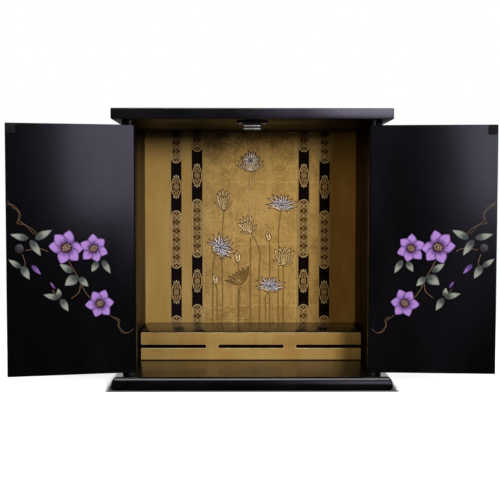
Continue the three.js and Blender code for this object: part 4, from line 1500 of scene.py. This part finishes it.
TENDRILS = [
    [
        (179.0, 283.0), (172.0, 274.0), (163.5, 267.0), (163.0, 255.0), (152.0, 246.5), (146.0, 238.0),
        (140.5, 234.0),
    ],
    [
        (180.5, 277.5), (170.0, 276.5), (160.5, 262.0), (166.0, 251.0), (155.0, 248.0), (142.5, 240.5),
        (137.5, 233.5),
    ],
    [(31.2, 112.3), (26.3, 108.4), (20.0, 103.0), (18.1, 93.8), (14.1, 86.2), (4.5, 86.0), (-2.6, 91.1)],
    [(24.2, 109.3), (17.3, 104.4), (20.1, 96.0), (12.5, 88.0), (6.6, 84.1)],
]
HEART_SHARE = 0.34
STAMENS = 9
LINE_FLAT = 0.25
LINE_TONE = 0.7
# Outlines of the figures, as how sharp the foot and the tip are
PETAL_SHAPE, LEAF_SHAPE, BUD_SHAPE = (0.75, 0.95), (0.7, 1.15), (0.5, 0.9)
ROUND_SHAPE, STAMEN_SHAPE = (0.5, 0.5), (1.1, 0.5)


class ALTAR_OT_painting(bpy.types.Operator):
    """Paint the flower spray on the inner face of each door"""
    bl_idname = "altar.painting"
    bl_label = "Door painting"

    def execute(self, context):
        look = context.scene.altar_painting
        materials = [
            paint_material('painted_petal', look.petal_light, look.petal_dark, 16.0),
            paint_material('painted_leaf', look.leaf_light, look.leaf_dark, 22.0),
            paint_material('painted_gold', look.gold, (0.12, 0.07, 0.03), 2.0),
            paint_material('painted_heart', look.heart, (0.01, 0.004, 0.01), 2.0),
        ]
        for side in ('left', 'right'):
            inner = door_extent(side, f'{side}_door')[1].y
            drawing = Matrix(((1, 0, 0, 0), (0, 0, 1, 0), (0, 1, 0, 0), (0, 0, 0, 1)))
            self.place = door_place(side) @ Matrix.Translation((0, inner, 0)) @ drawing
            self.film = look.film
            self.bm = bmesh.new()
            self.layers = figure_layers(self.bm)
            self.spray()
            finished(f'{side}_door_painting', self.bm, materials, f'{side}_door', smooth=60.0)
        return {'FINISHED'}

    def petal(self, foot, tip, width, level, material, rim, middle, shape, bend=0.0):
        """One painted leaf or petal from its foot to its tip, in millimetres. level counts films of paint.
        rim and middle are its tones."""
        way = Vector(tip) - Vector(foot)
        place = self.place @ Matrix.Translation((foot[0] * MM, foot[1] * MM, 0)) @ Matrix.Rotation(
            math.atan2(way.y, way.x), 4, 'Z'
        )
        before = len(self.bm.faces)
        film = self.film
        rings = [
            (1.0, -film, rim), (1.0, film * level, rim), (0.92, film * (level + 0.4), rim + 0.15),
            (0.7, film * (level + 0.5), middle * 0.8), (0.4, film * (level + 0.6), middle),
            (0.12, film * (level + 0.6), middle * 0.8),
        ]
        size = (way.length * MM, width * MM)
        add_figure(self.bm, self.layers, place, size, rings, 22, shape, bend=bend)
        use_slot(self.bm, before, material)

    def spray(self):
        for path in STEMS:
            self.line(path, 0.36, (1.0, 0.8))
        for path in TENDRILS:
            self.line(path, 0.25, (1.0, 0.75))
        for foot, tip, broad in LEAVES:
            width = math.dist(foot, tip) * broad
            self.petal(foot, tip, width, 1.0, GREEN, 0.2, 0.75, LEAF_SHAPE, 0.08)
        for foot, tip, broad in BUDS:
            width = math.dist(foot, tip) * broad
            self.petal(foot, tip, width, 1.2, PETAL, 0.1, 0.5, BUD_SHAPE)
        for centre, radius, bearings in FLOWERS:
            self.flower(Vector(centre), radius, bearings)

    def flower(self, centre, radius, bearings):
        for i, bearing in enumerate(bearings):
            turn = math.radians(90 + bearing)
            way = Vector((math.cos(turn), math.sin(turn)))
            reach = radius * (1.0 + 0.05 * math.sin(3.1 * i + radius))
            foot = centre + way * radius * 0.08
            tip = centre + way * reach
            level = 2.0 + 0.3 * i
            self.petal(foot, tip, radius * 0.76, level, PETAL, 0.18, 0.85, PETAL_SHAPE, 0.04)
        heart = radius * HEART_SHARE
        for level, part, tone, material in ((4.6, 1.0, 0.8, HEART), (5.4, 0.26, 0.6, GOLD)):
            foot = centre - Vector((heart * part, 0))
            tip = centre + Vector((heart * part, 0))
            self.petal(foot, tip, 1.9 * heart * part, level, material, tone * 0.6, tone, ROUND_SHAPE)
        for i in range(STAMENS):
            turn = 2 * math.pi * i / STAMENS
            way = Vector((math.cos(turn), math.sin(turn)))
            ends = (centre + way * heart * 0.26, centre + way * heart * (0.66 + 0.12 * math.sin(5 * i)))
            self.petal(*ends, heart * 0.19, 6.2, GOLD, 0.5, 0.9, STAMEN_SHAPE)

    def line(self, points, radius, thick):
        path = [(x * MM, y * MM, t) for x, y, t in smooth_path(points, 7, thick)]
        for vert in add_lines(self.bm, [path], radius * MM, LINE_FLAT, self.place, GOLD):
            vert[self.layers['tone']] = LINE_TONE


# Stage

# Each light: the studio's setting that holds its watts, its place, its aim, its size in metres, whether the
# lacquer mirrors it, and its tint
AIM = (0.0, 0.0, 0.22)
WHITE = (1.0, 1.0, 1.0)
LIGHTS = {
    'screen': ('screen', (1.6, -3.0, 1.25), AIM, (2.2, 1.8), True, (0.80, 0.73, 1.0)),
    'front': ('front', (0.73, -3.0, 0.75), AIM, (0.45, 0.5), False, (1.0, 0.985, 0.93)),
    'backdrop': ('behind', (0.0, 2.5, 0.3), (0.0, 0.0, 0.3), (5.0, 1.6), True, WHITE),
    'fill': ('fill', (-1.7, -2.6, 0.75), AIM, (1.2, 0.9), False, (1.0, 0.74, 0.42)),
    'overhead': ('over', (0.1, -0.9, 1.9), (0.0, -0.1, 0.2), (1.8, 0.7), True, WHITE),
}
# The viewpoint of the photograph: turns in radians, and place
VIEW_YAW, VIEW_PITCH, VIEW_ROLL = 0.009, -0.051, -0.001
VIEW_PLACE = (-17.5 * MM, -1628.1 * MM, 286.7 * MM)
SENSOR_WIDTH = 36.0
# How far from the base the floor starts and ends its fade into the backdrop, in metres
FADE = (0.15, 0.7)
FLOOR_GLOW = 0.85
SHADOW_COLOUR = (0.1, 0.1, 0.1)


def area_light(name, watts, location, target, size, mirrored, tint):
    data = bpy.data.lights.new(name, 'AREA')
    data.shape = 'RECTANGLE'
    data.size, data.size_y = size
    data.energy = watts
    data.color = tint
    light = bpy.data.objects.new(name, data)
    light.location = location
    light.visible_glossy = mirrored
    light.visible_camera = False
    light.rotation_euler = (Vector(target) - Vector(location)).to_track_quat('-Z', 'Y').to_euler()
    light.visible_diffuse = name != 'backdrop'
    bpy.context.scene.collection.objects.link(light)


class ALTAR_OT_stage(bpy.types.Operator):
    """Lay the pale floor, hang the studio lights and place the camera"""
    bl_idname = "altar.stage"
    bl_label = "Stage"

    def execute(self, context):
        look = context.scene.altar_studio
        self.floor(look)
        self.lights(look)
        self.backdrop(look)
        self.camera(look)
        context.scene.view_settings.view_transform = 'Standard'
        return {'FINISHED'}

    def floor(self, look):
        """The pale floor, with a painted contact shadow round the base and a fade into the white far away."""
        bm = bmesh.new()
        bmesh.ops.create_grid(bm, x_segments=1, y_segments=1, size=look.floor_half)
        mesh = bpy.data.meshes.new('floor')
        bm.to_mesh(mesh)
        bm.free()
        material, tree, shader = new_material('pale_floor')
        shader.inputs['Roughness'].default_value = 0.8
        shader.inputs['Emission Color'].default_value = (1.0, 1.0, 1.0, 1.0)
        split = add_node(tree, 'ShaderNodeSeparateXYZ', {0: object_point(tree)})
        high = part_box('base_board')[1]
        beyond = []
        for axis, reach in ((0, high.x), (1, high.y)):
            out = math_node(tree, 'ABSOLUTE', split.outputs[axis])
            beyond.append(math_node(tree, 'SUBTRACT', out, reach))
        away = math_node(tree, 'MAXIMUM', *beyond)
        # Right by the base the floor's colour and glow drop to a painted contact shadow.
        clear = ramp(tree, away, look.contact * 0.4, look.contact * 1.6)
        pale = mix_colour(tree, clear, SHADOW_COLOUR, look.floor)
        distant = ramp(tree, away, *FADE)
        link(tree, mix_colour(tree, distant, pale, (0.0, 0.0, 0.0)), shader, 'Base Color')
        glow = math_node(tree, 'MULTIPLY', clear, ramp(tree, distant, 0.0, 1.0, FLOOR_GLOW, 1.0))
        link(tree, glow, shader, 'Emission Strength')
        shader.inputs['Specular IOR Level'].default_value = 0.0
        mesh.materials.append(material)
        floor = bpy.data.objects.new('floor', mesh)
        bpy.context.scene.collection.objects.link(floor)
        floor.visible_glossy = False
        floor.visible_diffuse = False

    def lights(self, look):
        for name, (watts, *settings) in LIGHTS.items():
            area_light(name, getattr(look, watts), *settings)

    def backdrop(self, look):
        world = bpy.data.worlds.new('studio')
        bpy.context.scene.world = world
        world.use_nodes = True
        tree = world.node_tree
        tree.nodes.clear()
        seen = add_node(tree, 'ShaderNodeBackground', {'Color': (1, 1, 1, 1), 'Strength': 1.0})
        around = add_node(tree, 'ShaderNodeBackground', {'Color': (1, 1, 1, 1), 'Strength': look.ambient})
        path = add_node(tree, 'ShaderNodeLightPath')
        mix = add_node(
            tree, 'ShaderNodeMixShader',
            {0: path.outputs['Is Camera Ray'], 1: around.outputs[0], 2: seen.outputs[0]},
        )
        add_node(tree, 'ShaderNodeOutputWorld', {0: mix.outputs[0]})

    def camera(self, look):
        """The photograph's viewpoint: almost level, a little above the middle, far enough to look flat."""
        data = bpy.data.cameras.new('camera')
        data.sensor_width = SENSOR_WIDTH
        data.lens = look.focal
        camera = bpy.data.objects.new('camera', data)
        level = math.cos(VIEW_PITCH)
        forward = Vector((math.sin(VIEW_YAW) * level, math.cos(VIEW_YAW) * level, math.sin(VIEW_PITCH)))
        roll = Matrix.Rotation(-VIEW_ROLL, 3, 'Z').to_quaternion()
        camera.rotation_mode = 'QUATERNION'
        camera.rotation_quaternion = forward.to_track_quat('-Z', 'Y') @ roll
        camera.location = VIEW_PLACE
        bpy.context.scene.collection.objects.link(camera)
        bpy.context.scene.camera = camera


class ALTAR_PT_panel(bpy.types.Panel):
    """Lists the operators and their sizes"""
    bl_label = "Altar cabinet"
    bl_idname = "ALTAR_PT_panel"
    bl_space_type = 'VIEW_3D'
    bl_region_type = 'UI'
    bl_category = "Altar"

    def draw(self, context):
        for operator in OPERATORS:
            self.layout.operator(operator.bl_idname)
        for name, group in GROUPS.items():
            box = self.layout.box()
            box.label(text=group.__doc__)
            for prop in group.__annotations__:
                box.prop(getattr(context.scene, name), prop)


GROUPS = {
    'altar_lacquer': AltarLacquer,
    'altar_base': AltarBase,
    'altar_gold': AltarGold,
    'altar_relief': AltarRelief,
    'altar_brocade': AltarBrocade,
    'altar_painting': AltarPainting,
    'altar_fittings': AltarFittings,
    'altar_studio': AltarStudio,
}
OPERATORS = [
    ALTAR_OT_boards,
    ALTAR_OT_base,
    ALTAR_OT_doors,
    ALTAR_OT_gold_back,
    ALTAR_OT_brocade,
    ALTAR_OT_step_front,
    ALTAR_OT_door_fittings,
    ALTAR_OT_catch,
    ALTAR_OT_pins,
    ALTAR_OT_painting,
    ALTAR_OT_stage,
]


def register():
    for name, group in GROUPS.items():
        bpy.utils.register_class(group)
        setattr(bpy.types.Scene, name, bpy.props.PointerProperty(type=group))
    for operator in OPERATORS:
        bpy.utils.register_class(operator)
    bpy.utils.register_class(ALTAR_PT_panel)


def unregister():
    bpy.utils.unregister_class(ALTAR_PT_panel)
    for operator in reversed(OPERATORS):
        bpy.utils.unregister_class(operator)
    for name, group in reversed(GROUPS.items()):
        delattr(bpy.types.Scene, name)
        bpy.utils.unregister_class(group)


def main():
    register()
    for operator in OPERATORS:
        family, action = operator.bl_idname.split('.')
        getattr(getattr(bpy.ops, family), action)()


if __name__ == "__main__":
    main()
